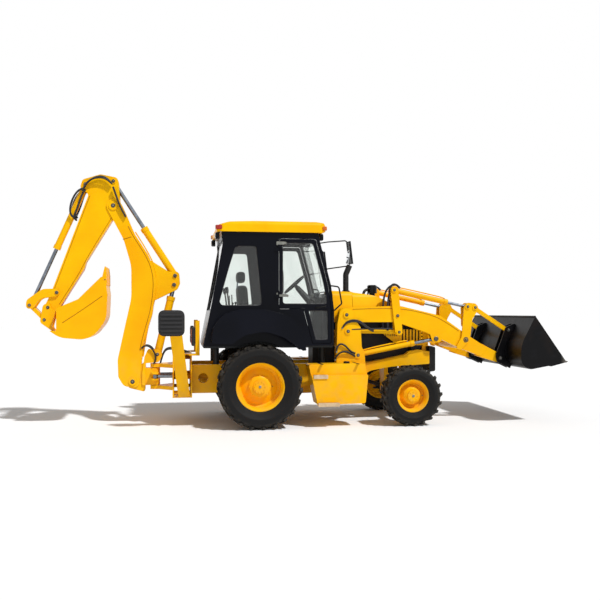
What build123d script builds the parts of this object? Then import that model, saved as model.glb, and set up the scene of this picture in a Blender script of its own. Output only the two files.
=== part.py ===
from build123d import *
import os
from math import atan2, degrees, hypot, radians, tan

# A backhoe loader in millimetres: X forward, Y to its left, Z up from the floor.
# Every size is set out from the rear axle; the finished pieces are moved at the end
# so that the middle of the whole machine's footprint is the origin.

# Driving sizes
REAR_TYRE_R = 605
REAR_TYRE_W = 440
REAR_RIM_R = 335
REAR_TRACK = 860
FRONT_TYRE_R = 443
FRONT_TYRE_W = 300
FRONT_RIM_R = 228
FRONT_TRACK = 916
WHEELBASE = 2249
NOSE_X = WHEELBASE + 441
LUG_H = 26
RIM_SHARE = 0.37
DISC_Y = 20
HUB_SEAT = DISC_Y + 6 - 0.3
KINGPIN_Y = 650
AXLE_PIN_R = 60

RAIL_IN = 385
RAIL_OUT = 475
RAIL_TOP = 900
RAIL_LOW = 730
TAIL_X = -955

ARM_Y = 550
ARM_HALF = 45
SIDE_GAP = 8
FORK_T = 22
PIN_R = 28
PIN_FIT = 0.1

CAB_HALF = 750
WALL_T = 45
FLOOR_Z = 1180
ROOF_LOW = 2840
ROOF_TOP = 3010
ROOF_HALF = 790
DOOR_GAP = 8
SEAT_Z = 1480
FENDER_Y = 1090
FENDER_WALL = 12
HOOD_HALF = 430
HOOD_T = 8
HOOD_LOW = 1520
HOOD_BACK = 1490
HOOD_NOSE = NOSE_X - 6
HOOD_HINGE = (1488, 2000)
STACK = (1425, -200)
STACK_FOOT = 58
INTAKE = (1870, -110)
INTAKE_R = 46
HINGE_X = 296
HINGE_Y = 766
ARCH_R = 640
ARCH_IN = 622
TANK_IN = 642
TANK_OUT = 985

BOOM_HALF = 97
BOOM_SLOT = 84
DIPPER_HALF = 78
BRACKET_IN = 66
BRACKET_T = 20
DIG_HALF = 300
LOAD_HALF = 1150

# Pins of the loader, as (x, z)
ARM_PIN = (1341, 1633)
LIFT_PIN = (1515, 1026)
LEVER_PIN = (2135, 1619)
LEVER_TOP = (2082, 2010)
LEVER_LOW = (2157, 1371)
LINK_PIN = (ARM_PIN[0] + LEVER_LOW[0] - LEVER_PIN[0], ARM_PIN[1] + LEVER_LOW[1] - LEVER_PIN[1])
LIFT_EYE = (2755, 1264)
CRANK_PIN = (3225, 1247)
TILT_EYE = (3253, 1757)
CRANK_TOP = (3375, 1745)
HINGE_PIN = (3785, 960)
EAR_PIN = (3925, 1390)

# Pins of the backhoe, as (x, z)
SWING_X = -1500
FOOT_PIN = (-1830, 629)
POST_PIN = (-1465, 1035)
BOOM_EYE = (-1217, 2088)
CROWD_PIN = (-1202, 2225)
HEAD_PIN = (-2115, 3267)
CROWD_EYE = (-2113, 3637)
CURL_PIN = (-2519, 3583)
TIP_PIN = (-2925, 1963)
KNUCKLE = (-3310, 1775)
DIG_PIN = (-3052, 1742)
DIG_EAR = (-3102, 1560)
KNUCKLE_BOSS = 52

# Barrel lengths of the cylinders, from the base pin to the gland
LIFT_LONG = 915
TILT_LONG = 885
BOOM_LONG = 900
CROWD_LONG = 862
CURL_LONG = 1060
LEG_CYL_LONG = 600

# Swing cylinders and stabilizers, as y or (y, z)
SWING_ARM = 230
SWING_Z = 714
LEG_PIN = (520, 500)
TIE_DOWN = (330, 500)
TIE_DOWN_R = 25
BUMPER_T = 100
BUMPER_HALF = 460
TOW_X = NOSE_X + 60
TOW_R = 20
LEG_EYE = (735, 905)
LEG_X = -1075
LEG_HALF = 85
LEG_CYL_PIN = (60, 985)
LEG_CYL_BACK = 30
LEG_LEAN = 7.3
PAD_Y = 1100
PAD_Z = 1520
PAD_T = 60
PAD_HALF = 178
PAD_BACK = -40

REAR_REACH = KNUCKLE[0] - KNUCKLE_BOSS
LIP_X = 4628
MID_X = (REAR_REACH + LIP_X) / 2

os.makedirs("parts", exist_ok=True)


def rounding(before, corner, after):
    """The corner's own radius, or what its shorter side leaves room for if that is less."""
    to_before = Vector(before[0] - corner[0], before[1] - corner[1])
    to_after = Vector(after[0] - corner[0], after[1] - corner[1])
    half_angle = radians(to_before.get_angle(to_after) / 2)
    room = 0.48 * min(to_before.length, to_after.length) * tan(half_angle)
    return min(corner[2], room)


def face(corners):
    """A closed outline from rows of (x, z, corner radius)."""
    count = len(corners)
    radii = [rounding(corners[i - 1], corners[i], corners[(i + 1) % count]) for i in range(count)]
    path = FilletPolyline(*[(x, z) for x, z, r in corners], radius=radii, close=True)
    drawn = make_face(path).face()
    return drawn if drawn.normal_at().Z > 0 else -drawn


def plate(corners, y_low, y_high):
    """An outline in X and Z with its thickness along Y."""
    return Pos(0, y_high, 0) * Rot(90, 0, 0) * extrude(face(corners), y_high - y_low)


def rib(corners, x_low, x_high):
    """An outline in Y and Z with its thickness along X."""
    across = Plane(origin=(x_low, 0, 0), x_dir=(0, 1, 0), z_dir=(1, 0, 0))
    return across * extrude(face(corners), x_high - x_low)


def slab(corners, z_low, z_high):
    """An outline in X and Y with its thickness along Z."""
    return Pos(0, 0, z_low) * extrude(face(corners), z_high - z_low)


def block(x_low, x_high, y_low, y_high, z_low, z_high):
    """A plain block between two corners."""
    middle = Pos((x_low + x_high) / 2, (y_low + y_high) / 2, (z_low + z_high) / 2)
    return middle * Box(x_high - x_low, y_high - y_low, z_high - z_low)


def disc(pin, r, y_low, y_high):
    """A round boss or pin across the machine, centred on an (x, z) pin."""
    return Pos(pin[0], (y_low + y_high) / 2, pin[1]) * Rot(90, 0, 0) * Cylinder(r, y_high - y_low)


def rod(start, end, r):
    """A round bar between two (x, y, z) points."""
    a = Vector(*start)
    b = Vector(*end)
    line = Plane(origin=a, z_dir=b - a)
    return line * Cylinder(r, (b - a).length, align=(Align.CENTER, Align.CENTER, Align.MIN))


def tube(points, radii, r):
    """A bent round bar through points, with an arc of its own radius at each corner."""
    path = FilletPolyline(*points, radius=radii)
    start = Plane(origin=path @ 0, z_dir=path % 0)
    return sweep(start * Circle(r), path=path)


def mirrored(shape):
    """The same piece on the other side of the machine."""
    return shape.mirror(Plane.XZ)


def both(shape):
    """A piece on the left and its twin on the right, in one node."""
    return Compound([shape, mirrored(shape)])


def at(origin, toward, distance):
    """The (x, z) point some way along the line from one pin to another."""
    span = hypot(toward[0] - origin[0], toward[1] - origin[1])
    share = distance / span
    return (origin[0] + share * (toward[0] - origin[0]), origin[1] + share * (toward[1] - origin[1]))


def barrel(base, eye, y, length, r, rod_r, eye_r, eye_half):
    """A hydraulic barrel: base eye, tube, gland collar and the bore that the rod runs in."""
    top = at(base, eye, length)
    collar = at(base, eye, length - 60)
    low = at(base, eye, eye_r * 0.7)
    deep = at(base, eye, eye_r + 50)
    body = rod((low[0], y, low[1]), (top[0], y, top[1]), r)
    body += rod((collar[0], y, collar[1]), (top[0], y, top[1]), r + 6)
    body += disc(base, eye_r, y - eye_half, y + eye_half)
    body -= rod((deep[0], y, deep[1]), (top[0], y, top[1]), rod_r + PIN_FIT)
    body -= disc(base, PIN_R + PIN_FIT, y - eye_half, y + eye_half)
    return body


def piston(base, eye, y, length, rod_r, eye_r, eye_half, inside):
    """A chromed rod from inside its barrel to its eye."""
    start = at(base, eye, length - inside)
    span = hypot(eye[0] - base[0], eye[1] - base[1])
    end = at(base, eye, span - eye_r * 0.6)
    body = rod((start[0], y, start[1]), (end[0], y, end[1]), rod_r)
    body += disc(eye, eye_r, y - eye_half, y + eye_half)
    return body


def spoke_copies(shape, count, first=0.0):
    """Copies of a shape about the Y axis."""
    return [Rot(0, first + 360 * i / count, 0) * shape for i in range(count)]


def tyre(r, width, rim_r, count):
    """A tyre about the Y axis: a carcass of cones with two rows of slanting lugs."""
    half = width / 2
    base_r = r - LUG_H
    shoulder = half - 0.11 * width
    bead = RIM_SHARE * width
    profile = Polyline(
        (rim_r - 8, 20 - bead), (rim_r + 14, 14 - bead), (rim_r + 14, -bead - 6),
        (rim_r + 0.5 * (base_r - rim_r), -half), (base_r - 34, -half + 4), (base_r, -shoulder),
        (base_r, shoulder), (base_r - 34, half - 4), (rim_r + 0.5 * (base_r - rim_r), half),
        (rim_r + 14, bead + 6), (rim_r + 14, bead - 14), (rim_r - 8, bead - 20), close=True
    )
    carcass = revolve(make_face(profile), Axis.Y)
    lug_long = half * 0.98
    lug_wide = 0.085 * r
    lug = Box(lug_wide, lug_long, LUG_H + 14)
    lug = Rot(0, 0, 26) * lug
    left = Pos(0, half - lug_long / 2 - 4, base_r + LUG_H / 2 - 9) * lug
    shave = rib([(half - 1, r + 40, 0), (half + 90, r + 40, 0), (half + 90, base_r - 60, 0)],
                -r, r)
    left -= shave
    right = Rot(0, 180 / count, 0) * left.mirror(Plane.XZ)
    lugs = spoke_copies(left, count) + spoke_copies(right, count)
    whole = carcass + lugs
    keep = Rot(90, 0, 0) * Cylinder(r, width)
    return whole & keep


def rim(r, half, disc_y, hub_r, hub_out, bolt_ring):
    """A rim about the Y axis, outer side at +Y: flanges, well, dished disc and hub."""
    section = Polyline(
        (r + 14, half), (r + 14, half - 14), (r - 8, half - 20), (r - 22, half - 60),
        (r - 22, -half + 60), (r - 8, -half + 20), (r + 14, -half + 14), (r + 14, -half),
        (r, -half), (r - 16, -half + 22), (r - 36, -half + 62), (r - 36, half - 62),
        (r - 16, half - 22), (r, half), close=True
    )
    ring = revolve(make_face(section), Axis.Y)
    dish = Polyline(
        (0, disc_y + 26), (hub_r + 34, disc_y + 26), (r - 70, disc_y - 40), (r - 30, disc_y - 20),
        (r - 30, disc_y - 34), (r - 66, disc_y - 60), (hub_r + 26, disc_y + 6), (0, disc_y + 6),
        close=True
    )
    ring += revolve(make_face(dish), Axis.Y)
    ring += Pos(0, disc_y + 26 + hub_out / 2, 0) * Rot(90, 0, 0) * Cylinder(hub_r, hub_out)
    for i in range(8):
        nut = Pos(bolt_ring, disc_y + 34, 0) * Rot(90, 0, 0) * Cylinder(13, 30)
        ring += Rot(0, 45 * i, 0) * nut
    return ring


def chassis_frame():
    """Both boxed rails, their cross tubes, the loader towers and the axle cradle."""
    rail = plate([
        (TAIL_X, 480, 0), (-560, 480, 60), (-500, RAIL_LOW, 60), (560, RAIL_LOW, 60),
        (640, 560, 60), (1560, 560, 90), (1700, 770, 200), (NOSE_X - 609, 835, 300),
        (NOSE_X, 872, 20), (NOSE_X, 1063, 0), (NOSE_X - 182, 1095, 40), (NOSE_X - 330, 1066, 40),
        (NOSE_X - 380, 1018, 200),
        (1693, RAIL_TOP, 200), (TAIL_X, RAIL_TOP, 0)
    ], RAIL_IN, RAIL_OUT)
    rail -= disc((-790, 700), 72, RAIL_IN, RAIL_OUT)
    inner = ARM_Y - ARM_HALF - SIDE_GAP
    outer = ARM_Y + ARM_HALF + SIDE_GAP
    cheek = [
        (1180, 760, 0), (1640, 760, 0), (1620, 1060, 60), (1575, 1150, 60), (1560, 1440, 60),
        (1450, 1600, 60), (1440, 1720, 95), (1250, 1745, 95), (1200, 1500, 90)
    ]
    tower = plate(cheek, RAIL_OUT, inner)
    tower += plate(cheek, outer, outer + FORK_T)
    tower += plate([(1180, 760, 0), (1640, 760, 0), (1640, 900, 20), (1180, 900, 20)], inner, outer)
    tower += plate([(1180, 900, 0), (1236, 900, 0), (1236, 1300, 20), (1200, 1300, 20)], inner, outer)
    for pin in (ARM_PIN, LINK_PIN, LIFT_PIN):
        tower += disc(pin, PIN_R, inner, outer)
        tower += disc(pin, PIN_R + 22, outer + FORK_T, outer + FORK_T + 14)
    side = rail + tower
    frame = side + mirrored(side)
    for x, z, r in ((-880, 600, 60), (720, 600, 55), (1720, 825, 50), (2635, 980, 50)):
        frame += disc((x, z), r, -RAIL_IN, RAIL_IN)
    cradle = rib([(-150, 845, 0), (150, 845, 0), (AXLE_PIN_R + 36, FRONT_TYRE_R - 55, 80),
                  (-AXLE_PIN_R - 36, FRONT_TYRE_R - 55, 80)], WHEELBASE - 190, WHEELBASE - 130)
    cradle += Pos(320, 0, 0) * cradle
    cradle += block(WHEELBASE - 190, WHEELBASE + 190, -RAIL_IN, RAIL_IN, 840, 880)
    pivot = (WHEELBASE - 200, 0, FRONT_TYRE_R)
    cradle -= rod(pivot, (WHEELBASE + 200, 0, FRONT_TYRE_R), AXLE_PIN_R + PIN_FIT)
    return frame + cradle


def rear_frame():
    """The stabilizer box across the tail with the two swing brackets and the tail posts."""
    wall = [(-640, 430, 30), (640, 430, 30), (640, 600, 30), (475, 1040, 30), (-475, 1040, 30),
            (-640, 600, 30)]
    frame = rib(wall, TAIL_X - 20, TAIL_X)
    frame += rib(wall, -1235, -1215)
    frame += block(-1235, TAIL_X, -475, 475, 1040, 1062)
    frame += block(-1235, TAIL_X, -420, 420, 410, 430)
    for side in (1, -1):
        frame -= Pos(-1225, side * SWING_ARM, SWING_Z) * Rot(0, 90, 0) * Cylinder(56, 40)
        frame -= Pos(-965, side * SWING_ARM, SWING_Z) * Rot(0, 90, 0) * Cylinder(56, 40)
        frame += rod((-1215, side * LEG_PIN[0], LEG_PIN[1]), (-975, side * LEG_PIN[0], LEG_PIN[1]), PIN_R)
    frame += rod((-1215, LEG_CYL_PIN[0], LEG_CYL_PIN[1]), (-975, LEG_CYL_PIN[0], LEG_CYL_PIN[1]), PIN_R)
    frame += rod((-1215, -LEG_CYL_PIN[0], LEG_CYL_PIN[1]), (-975, -LEG_CYL_PIN[0], LEG_CYL_PIN[1]), PIN_R)
    frame -= rib([(-70, 650, 20), (70, 650, 20), (70, 778, 20), (-70, 778, 20)], -1235, -1215)
    for side in (1, -1):
        frame -= rod((-1240, side * TIE_DOWN[0], TIE_DOWN[1]), (-1210, side * TIE_DOWN[0], TIE_DOWN[1]),
                     TIE_DOWN_R)
    tail = [(-1235, 300, 0), (SWING_X + 60, 84, 40), (SWING_X - 70, 84, 70), (SWING_X - 70, -84, 70),
            (SWING_X + 60, -84, 40), (-1235, -300, 0)]
    for low in (510, 840):
        frame += slab(tail, low, low + 55)
    frame += Pos(SWING_X, 0, 702) * Cylinder(34, 385)
    post = block(-905, -845, 530, 590, 1062, 1550)
    post += block(-1000, -845, 430, 600, 1040, 1062)
    return frame + post + mirrored(post)


def nose_bumper():
    """The cast nose block across the front of the rails."""
    front = NOSE_X + BUMPER_T
    shape = plate([(NOSE_X, 745, 20), (front, 760, 25), (front, 1130, 25), (NOSE_X, 1156, 20)],
                  -BUMPER_HALF, BUMPER_HALF)
    shape -= block(TOW_X - 35, front, -60, 60, 900, 1010)
    return shape - Pos(TOW_X, 0, 950) * Cylinder(TOW_R, 420)


def drivetrain():
    """Engine block, gearbox, shafts and both axle housings, as one train of castings."""
    train = block(1650, 2450, -240, 240, 900, 1480)
    train += block(900, 1650, -200, 200, 760, 1130)
    train += block(2440, 2580, -330, 330, 900, 1510)
    for side in (1, -1):
        train += block(1850, 1950, min(0, side * RAIL_IN), max(0, side * RAIL_IN), 880, 940)
        train += block(1000, 1100, min(0, side * RAIL_IN), max(0, side * RAIL_IN), 770, 840)
    train += rod((300, 0, 620), (1000, 0, 800), 32)
    train += rod((1200, 155, 780), (WHEELBASE - 45, 155, 455), 30)
    rear = Rot(90, 0, 0) * Cylinder(110, 2 * 640)
    rear += Rot(90, 0, 0) * Cylinder(165, 2 * 160)
    rear += Rot(0, 90, 0) * Pos(0, 0, 150) * Cylinder(120, 340)
    for side in (1, -1):
        rear += Pos(0, side * 690, 0) * Rot(90, 0, 0) * Cylinder(150, 120)
        rear += rod((0, side * 740, 0), (0, side * (REAR_TRACK + HUB_SEAT), 0), 100)
        rear += block(-150, 150, side * 430 - 45, side * 430 + 45, 0, RAIL_LOW - REAR_TYRE_R)
    train += Pos(0, 0, REAR_TYRE_R) * rear
    beam = Rot(90, 0, 0) * Cylinder(62, 2 * (KINGPIN_Y - 70))
    beam += Rot(90, 0, 0) * Cylinder(70, 380)
    beam += Sphere(125)
    beam += rod((190, 0, 0), (-190, 0, 0), AXLE_PIN_R)
    for side in (1, -1):
        yoke = block(-60, 60, KINGPIN_Y - 110, KINGPIN_Y - 62, -120, 120)
        yoke += Pos(0, KINGPIN_Y - 20, 100) * Box(110, 120, 30)
        yoke += Pos(0, KINGPIN_Y - 20, -100) * Box(110, 120, 30)
        yoke += Pos(0, KINGPIN_Y, 0) * Cylinder(24, 200)
        beam += yoke if side > 0 else mirrored(yoke)
    train += Pos(WHEELBASE, 0, FRONT_TYRE_R) * beam
    return train


def knuckle():
    """A left steering knuckle: a hub carrier on the kingpin with its wheel spindle."""
    body = Pos(0, 0, 0) * Cylinder(52, 164)
    body += Pos(0, 90, 0) * Rot(90, 0, 0) * Cylinder(88, 60)
    body += block(-45, 45, 0, 70, -70, 70)
    body += rod((0, 90, 0), (0, FRONT_TRACK + HUB_SEAT - KINGPIN_Y, 0), 60)
    body += plate([(-150, -60, 12), (0, -60, 0), (0, -30, 0), (-150, -30, 12)], 10, 50)
    body -= Cylinder(24 + PIN_FIT, 200)
    return Pos(WHEELBASE, KINGPIN_Y, FRONT_TYRE_R) * body


def loader_arms():
    """Both lift arms as boxed beams, joined by the torque tube, with their pins."""
    low = ARM_Y - ARM_HALF
    high = ARM_Y + ARM_HALF
    arm = plate([
        (1230, 1521, 100), (2130, 1521, 300), (2582, 1366, 300), (3155, 1110, 300), (3478, 989, 10),
        (3594, 1114, 10), (3301, 1296, 200), (3139, 1402, 60), (2821, 1620, 200), (2173, 1771, 500),
        (1420, 1742, 200), (1230, 1745, 100)
    ], low, high)
    arm += plate([(3400, 1000, 0), (3760, 890, 68), (3850, 1000, 68), (3500, 1180, 0)], ARM_Y - 32, ARM_Y + 32)
    arm -= disc(ARM_PIN, PIN_R + PIN_FIT, low, high)
    arm -= plate([(2540, 1120, 0), (2850, 1120, 0), (2850, 1330, 60), (2740, 1450, 60), (2540, 1480, 0)],
                 ARM_Y - 29, ARM_Y + 29)
    for y in (low, high - 16):
        arm += plate([(2640, 1400, 0), (2700, 1206, 60), (2815, 1206, 60), (2880, 1300, 0)], y, y + 16)
    reach = ARM_HALF + SIDE_GAP + FORK_T + 8
    arm += disc(LEVER_PIN, PIN_R, ARM_Y - reach, ARM_Y + reach)
    arm += disc(CRANK_PIN, PIN_R, ARM_Y, ARM_Y + reach)
    arm -= disc(HINGE_PIN, PIN_R + PIN_FIT, low, high)
    arms = arm + mirrored(arm)
    arms += disc((3230, 1180), 78, -low, low)
    return arms


def lift_barrel():
    return barrel(LIFT_PIN, LIFT_EYE, ARM_Y, LIFT_LONG, 39, 25, 44, 38)


def lift_rod():
    return piston(LIFT_PIN, LIFT_EYE, ARM_Y, LIFT_LONG, 25, 42, 24, 615)


def lever_plates(corners):
    """A pair of lever plates that straddle the arm."""
    inner = ARM_HALF + SIDE_GAP
    pair = plate(corners, ARM_Y - inner - FORK_T, ARM_Y - inner)
    return pair + plate(corners, ARM_Y + inner, ARM_Y + inner + FORK_T)


def levelling_lever():
    """The upright lever that carries the tilt cylinder on the arm's pin."""
    body = lever_plates([
        (2025, 2010, 58), (2060, 2072, 40), (2140, 2060, 58), (2190, 1640, 200), (2215, 1330, 40),
        (2105, 1320, 50), (2070, 1600, 200)
    ])
    inner = ARM_HALF + SIDE_GAP
    body -= disc(LEVER_PIN, PIN_R + PIN_FIT, ARM_Y - 120, ARM_Y + 120)
    body += disc(LEVER_TOP, PIN_R, ARM_Y - inner, ARM_Y + inner)
    for pin in (LEVER_TOP, LEVER_LOW):
        body += disc(pin, PIN_R + 16, ARM_Y + inner + FORK_T, ARM_Y + inner + FORK_T + 12)
    body += plate([(2052, 1850, 0), (2080, 1850, 0), (2080, 1920, 0), (2046, 1920, 0)],
                  ARM_Y - inner, ARM_Y + inner)
    return body


def levelling_link():
    """The lower bar from the tower to the foot of the levelling lever."""
    body = disc(LINK_PIN, 50, ARM_Y - 36, ARM_Y + 36)
    body += disc(LEVER_LOW, 46, ARM_Y - 36, ARM_Y + 36)
    body += plate([
        (LINK_PIN[0], LINK_PIN[1] - 30, 0), (LEVER_LOW[0], LEVER_LOW[1] - 30, 0),
        (LEVER_LOW[0], LEVER_LOW[1] + 30, 0), (LINK_PIN[0], LINK_PIN[1] + 30, 0)
    ], ARM_Y - 22, ARM_Y + 22)
    body -= disc(LINK_PIN, PIN_R + PIN_FIT, ARM_Y - 40, ARM_Y + 40)
    return body


def tilt_barrel():
    return barrel(LEVER_TOP, TILT_EYE, ARM_Y, TILT_LONG, 42, 22, 46, 44)


def tilt_rod():
    return piston(LEVER_TOP, TILT_EYE, ARM_Y, TILT_LONG, 22, 42, 36, 565)


def crank_bush():
    """The round bush on the arm's outer pin that the bell crank turns on."""
    inner = ARM_HALF + SIDE_GAP
    ring = disc(CRANK_PIN, PIN_R + 14, ARM_Y + inner, ARM_Y + inner + FORK_T)
    return ring - disc(CRANK_PIN, PIN_R + PIN_FIT, ARM_Y, ARM_Y + 120)


def bell_crank():
    """The tall crank between tilt cylinder, link and arm."""
    inner = ARM_HALF + SIDE_GAP
    body = plate([
        (3195, 1757, 58), (3253, 1820, 40), (3390, 1806, 50), (3430, 1720, 58), (3330, 1560, 100),
        (3290, 1240, 60), (3150, 1090, 45), (3060, 1120, 45), (3160, 1300, 60)
    ], ARM_Y + inner, ARM_Y + inner + FORK_T)
    body += plate([
        (3195, 1757, 58), (3253, 1820, 40), (3390, 1806, 50), (3430, 1720, 58), (3335, 1560, 100),
        (3320, 1440, 40), (3205, 1440, 40)
    ], ARM_Y - inner - FORK_T, ARM_Y - inner)
    body -= disc(CRANK_PIN, PIN_R + 14 + PIN_FIT, ARM_Y - 120, ARM_Y + 120)
    for pin in (TILT_EYE, CRANK_TOP):
        body += disc(pin, PIN_R + 14, ARM_Y + inner + FORK_T, ARM_Y + inner + FORK_T + 12)
    body += disc(CRANK_TOP, PIN_R - 8, ARM_Y - inner, ARM_Y + inner)
    body += plate([(3238, 1560, 0), (3262, 1560, 0), (3262, 1610, 0), (3239, 1610, 0)],
                  ARM_Y - inner, ARM_Y + inner)
    return body


def link_bush():
    """The bush on the crank's upper pin that the bucket link turns on."""
    ring = disc(CRANK_TOP, PIN_R + 8, ARM_Y - 34, ARM_Y + 34)
    return ring - disc(CRANK_TOP, PIN_R - 8 + PIN_FIT, ARM_Y - 40, ARM_Y + 40)


def tilt_link():
    """The straight bar from the bell crank to the bucket's upper ear."""
    body = disc(CRANK_TOP, 54, ARM_Y - 34, ARM_Y + 34)
    body += disc(EAR_PIN, 34, ARM_Y - 34, ARM_Y + 34)
    dx = EAR_PIN[0] - CRANK_TOP[0]
    dz = EAR_PIN[1] - CRANK_TOP[1]
    middle = Pos((CRANK_TOP[0] + EAR_PIN[0]) / 2, ARM_Y, (CRANK_TOP[1] + EAR_PIN[1]) / 2)
    body += middle * Rot(0, -degrees(atan2(dz, dx)), 0) * Box(hypot(dx, dz), 44, 62)
    return body - disc(CRANK_TOP, PIN_R + 8 + PIN_FIT, ARM_Y - 40, ARM_Y + 40)


def hinge_pin():
    """The bucket hinge pin."""
    return disc(HINGE_PIN, PIN_R, ARM_Y - 90, ARM_Y + 90)


def loader_bucket():
    """A general purpose bucket: rolled shell, side plates, lip and hinge ears."""
    wall = 16
    outer = face([(LIP_X - 20, 918, 0), (3895, 795, 160), (3868, 1160, 500), (4106, 1615, 0)])
    body = Pos(0, LOAD_HALF, 0) * Rot(90, 0, 0) * extrude(outer, 2 * LOAD_HALF)
    hollow = face([
        (LIP_X + 30, 918 + 26, 0), (3895 + wall, 795 + 22, 150), (3868 + wall + 2, 1160, 490),
        (4106 + 10, 1615 + 20, 0), (4400, 1700, 0)
    ])
    body -= Pos(0, LOAD_HALF - wall, 0) * Rot(90, 0, 0) * extrude(hollow, 2 * (LOAD_HALF - wall))
    body += plate([(4360, 860, 0), (LIP_X, 925, 0), (LIP_X - 14, 940, 0), (4350, 897, 0)],
                  -LOAD_HALF, LOAD_HALF)
    inner = ARM_HALF + SIDE_GAP
    ear = [
        (3735, 900, 60), (3950, 800, 0), (3985, 900, 0), (3960, 1160, 0), (4060, 1440, 0),
        (4030, 1500, 30), (3880, 1440, 60), (3790, 1200, 100), (3715, 1010, 60)
    ]
    for y in (ARM_Y - inner - FORK_T, ARM_Y + inner):
        for side in (1, -1):
            low = y if side > 0 else -y - FORK_T
            ears = plate(ear, low, low + FORK_T)
            ears -= disc(HINGE_PIN, PIN_R + PIN_FIT, low - 1, low + FORK_T + 1)
            ears -= Pos(0, LOAD_HALF - wall, 0) * Rot(90, 0, 0) * extrude(hollow, 2 * (LOAD_HALF - wall))
            body += ears
    return body


def swing_post():
    """The cast swing post: hub, boom tongue, cheeks for the boom cylinder and rod ears."""
    post = plate([
        (-1930, 545, 90), (-1760, 500, 60), (-1645, 470, 30), (-1638, 905, 0), (-1690, 905, 60),
        (-1760, 740, 60), (-1900, 740, 90)
    ], -76, 76)
    post += Pos(SWING_X, 0, 702) * Cylinder(74, 260)
    post += block(-1640, SWING_X, -74, 74, 572, 832)
    cheek = [
        (-1690, 570, 20), (-1640, 570, 0), (-1638, 903, 0), (-1440, 915, 60), (-1385, 1040, 70),
        (-1440, 1110, 60), (-1608, 1110, 30), (-1655, 1000, 60), (-1690, 760, 30)
    ]
    for y in (-97, 72):
        post += plate(cheek, y, y + 25)
    post += disc(POST_PIN, PIN_R, -97, 97)
    for low in (656, 746):
        ears = slab([(SWING_X - 50, -SWING_ARM - 28, 38), (SWING_X + 50, -SWING_ARM - 28, 38),
                     (SWING_X + 60, 0, 0), (SWING_X + 50, SWING_ARM + 28, 38),
                     (SWING_X - 50, SWING_ARM + 28, 38), (SWING_X - 60, 0, 0)], low, low + 26)
        post += ears
    post -= Pos(SWING_X, 0, 702) * Cylinder(34 + PIN_FIT, 400)
    post -= disc(FOOT_PIN, PIN_R + 7 + PIN_FIT, -80, 80)
    return post


def swing_barrel():
    """A swing cylinder barrel held level in the tail box."""
    body = rod((-1240, SWING_ARM, SWING_Z), (-620, SWING_ARM, SWING_Z), 46)
    body += rod((-1240, SWING_ARM, SWING_Z), (-1210, SWING_ARM, SWING_Z), 56)
    body += rod((TAIL_X - 20, SWING_ARM, SWING_Z), (TAIL_X, SWING_ARM, SWING_Z), 56)
    body -= rod((-1240, SWING_ARM, SWING_Z), (-650, SWING_ARM, SWING_Z), 24 + PIN_FIT)
    return body


def swing_rod():
    """A left swing rod with its upright eye."""
    body = rod((-1486, SWING_ARM, SWING_Z), (-920, SWING_ARM, SWING_Z), 24)
    body += Pos(-1486, SWING_ARM, SWING_Z) * Cylinder(40, 50)
    return body


def boom():
    """The curved boom: boxed beam, forked foot and head, bracket with its pins."""
    beam = plate([
        (-2040, 700, 60), (-1960, 560, 110), (-1740, 530, 110), (-1722, 690, 60), (-1667, 1219, 600),
        (-1538, 1645, 600), (-1473, 2162, 350), (-1592, 2526, 350), (-1800, 2850, 400),
        (-1990, 3290, 120), (-2090, 3400, 100), (-2240, 3300, 110), (-2150, 3120, 0),
        (-1963, 2764, 500), (-1850, 2372, 700), (-1848, 1887, 800), (-1960, 1380, 500),
        (-2050, 960, 300)
    ], -BOOM_HALF, BOOM_HALF)
    beam -= disc(FOOT_PIN, 122, -BOOM_SLOT, BOOM_SLOT)
    beam -= plate([(-1990, 450, 0), (-1650, 450, 0), (-1650, 930, 0), (-1770, 930, 40),
                   (-1940, 775, 40)], -BOOM_SLOT, BOOM_SLOT)
    beam -= disc(HEAD_PIN, 215, -BOOM_SLOT, BOOM_SLOT)
    beam -= plate([(-2300, 3000, 0), (-2100, 3000, 0), (-2030, 3090, 0), (-1870, 3020, 0),
                   (-1780, 2980, 0), (-1780, 3500, 0), (-2300, 3500, 0)], -BOOM_SLOT, BOOM_SLOT)
    beam += disc(FOOT_PIN, PIN_R + 7, -BOOM_HALF, BOOM_HALF)
    beam += disc(HEAD_PIN, PIN_R + 7, -BOOM_HALF, BOOM_HALF)
    for pin, r in ((FOOT_PIN, 60), (HEAD_PIN, 66)):
        for y in (-BOOM_HALF - 14, BOOM_HALF):
            beam += disc(pin, r, y, y + 14)
    bracket = [
        (-1530, 1840, 0), (-1165, 2020, 60), (-1125, 2110, 40), (-1140, 2290, 60),
        (-1300, 2290, 60), (-1620, 2490, 0)
    ]
    for y in (-BRACKET_IN - BRACKET_T, BRACKET_IN):
        beam += plate(bracket, y, y + BRACKET_T)
    beam += disc(CROWD_PIN, PIN_R, -BRACKET_IN - BRACKET_T - 12, BRACKET_IN + BRACKET_T + 12)
    for y in (-BRACKET_IN - BRACKET_T - 12, BRACKET_IN + BRACKET_T):
        beam += disc(BOOM_EYE, PIN_R + 8, y, y + 12)
    return beam


def boom_barrel():
    return barrel(POST_PIN, BOOM_EYE, 0, BOOM_LONG, 58, 32, 58, 64)


def boom_rod():
    return piston(POST_PIN, BOOM_EYE, 0, BOOM_LONG, 32, 50, 60, 780)


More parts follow.
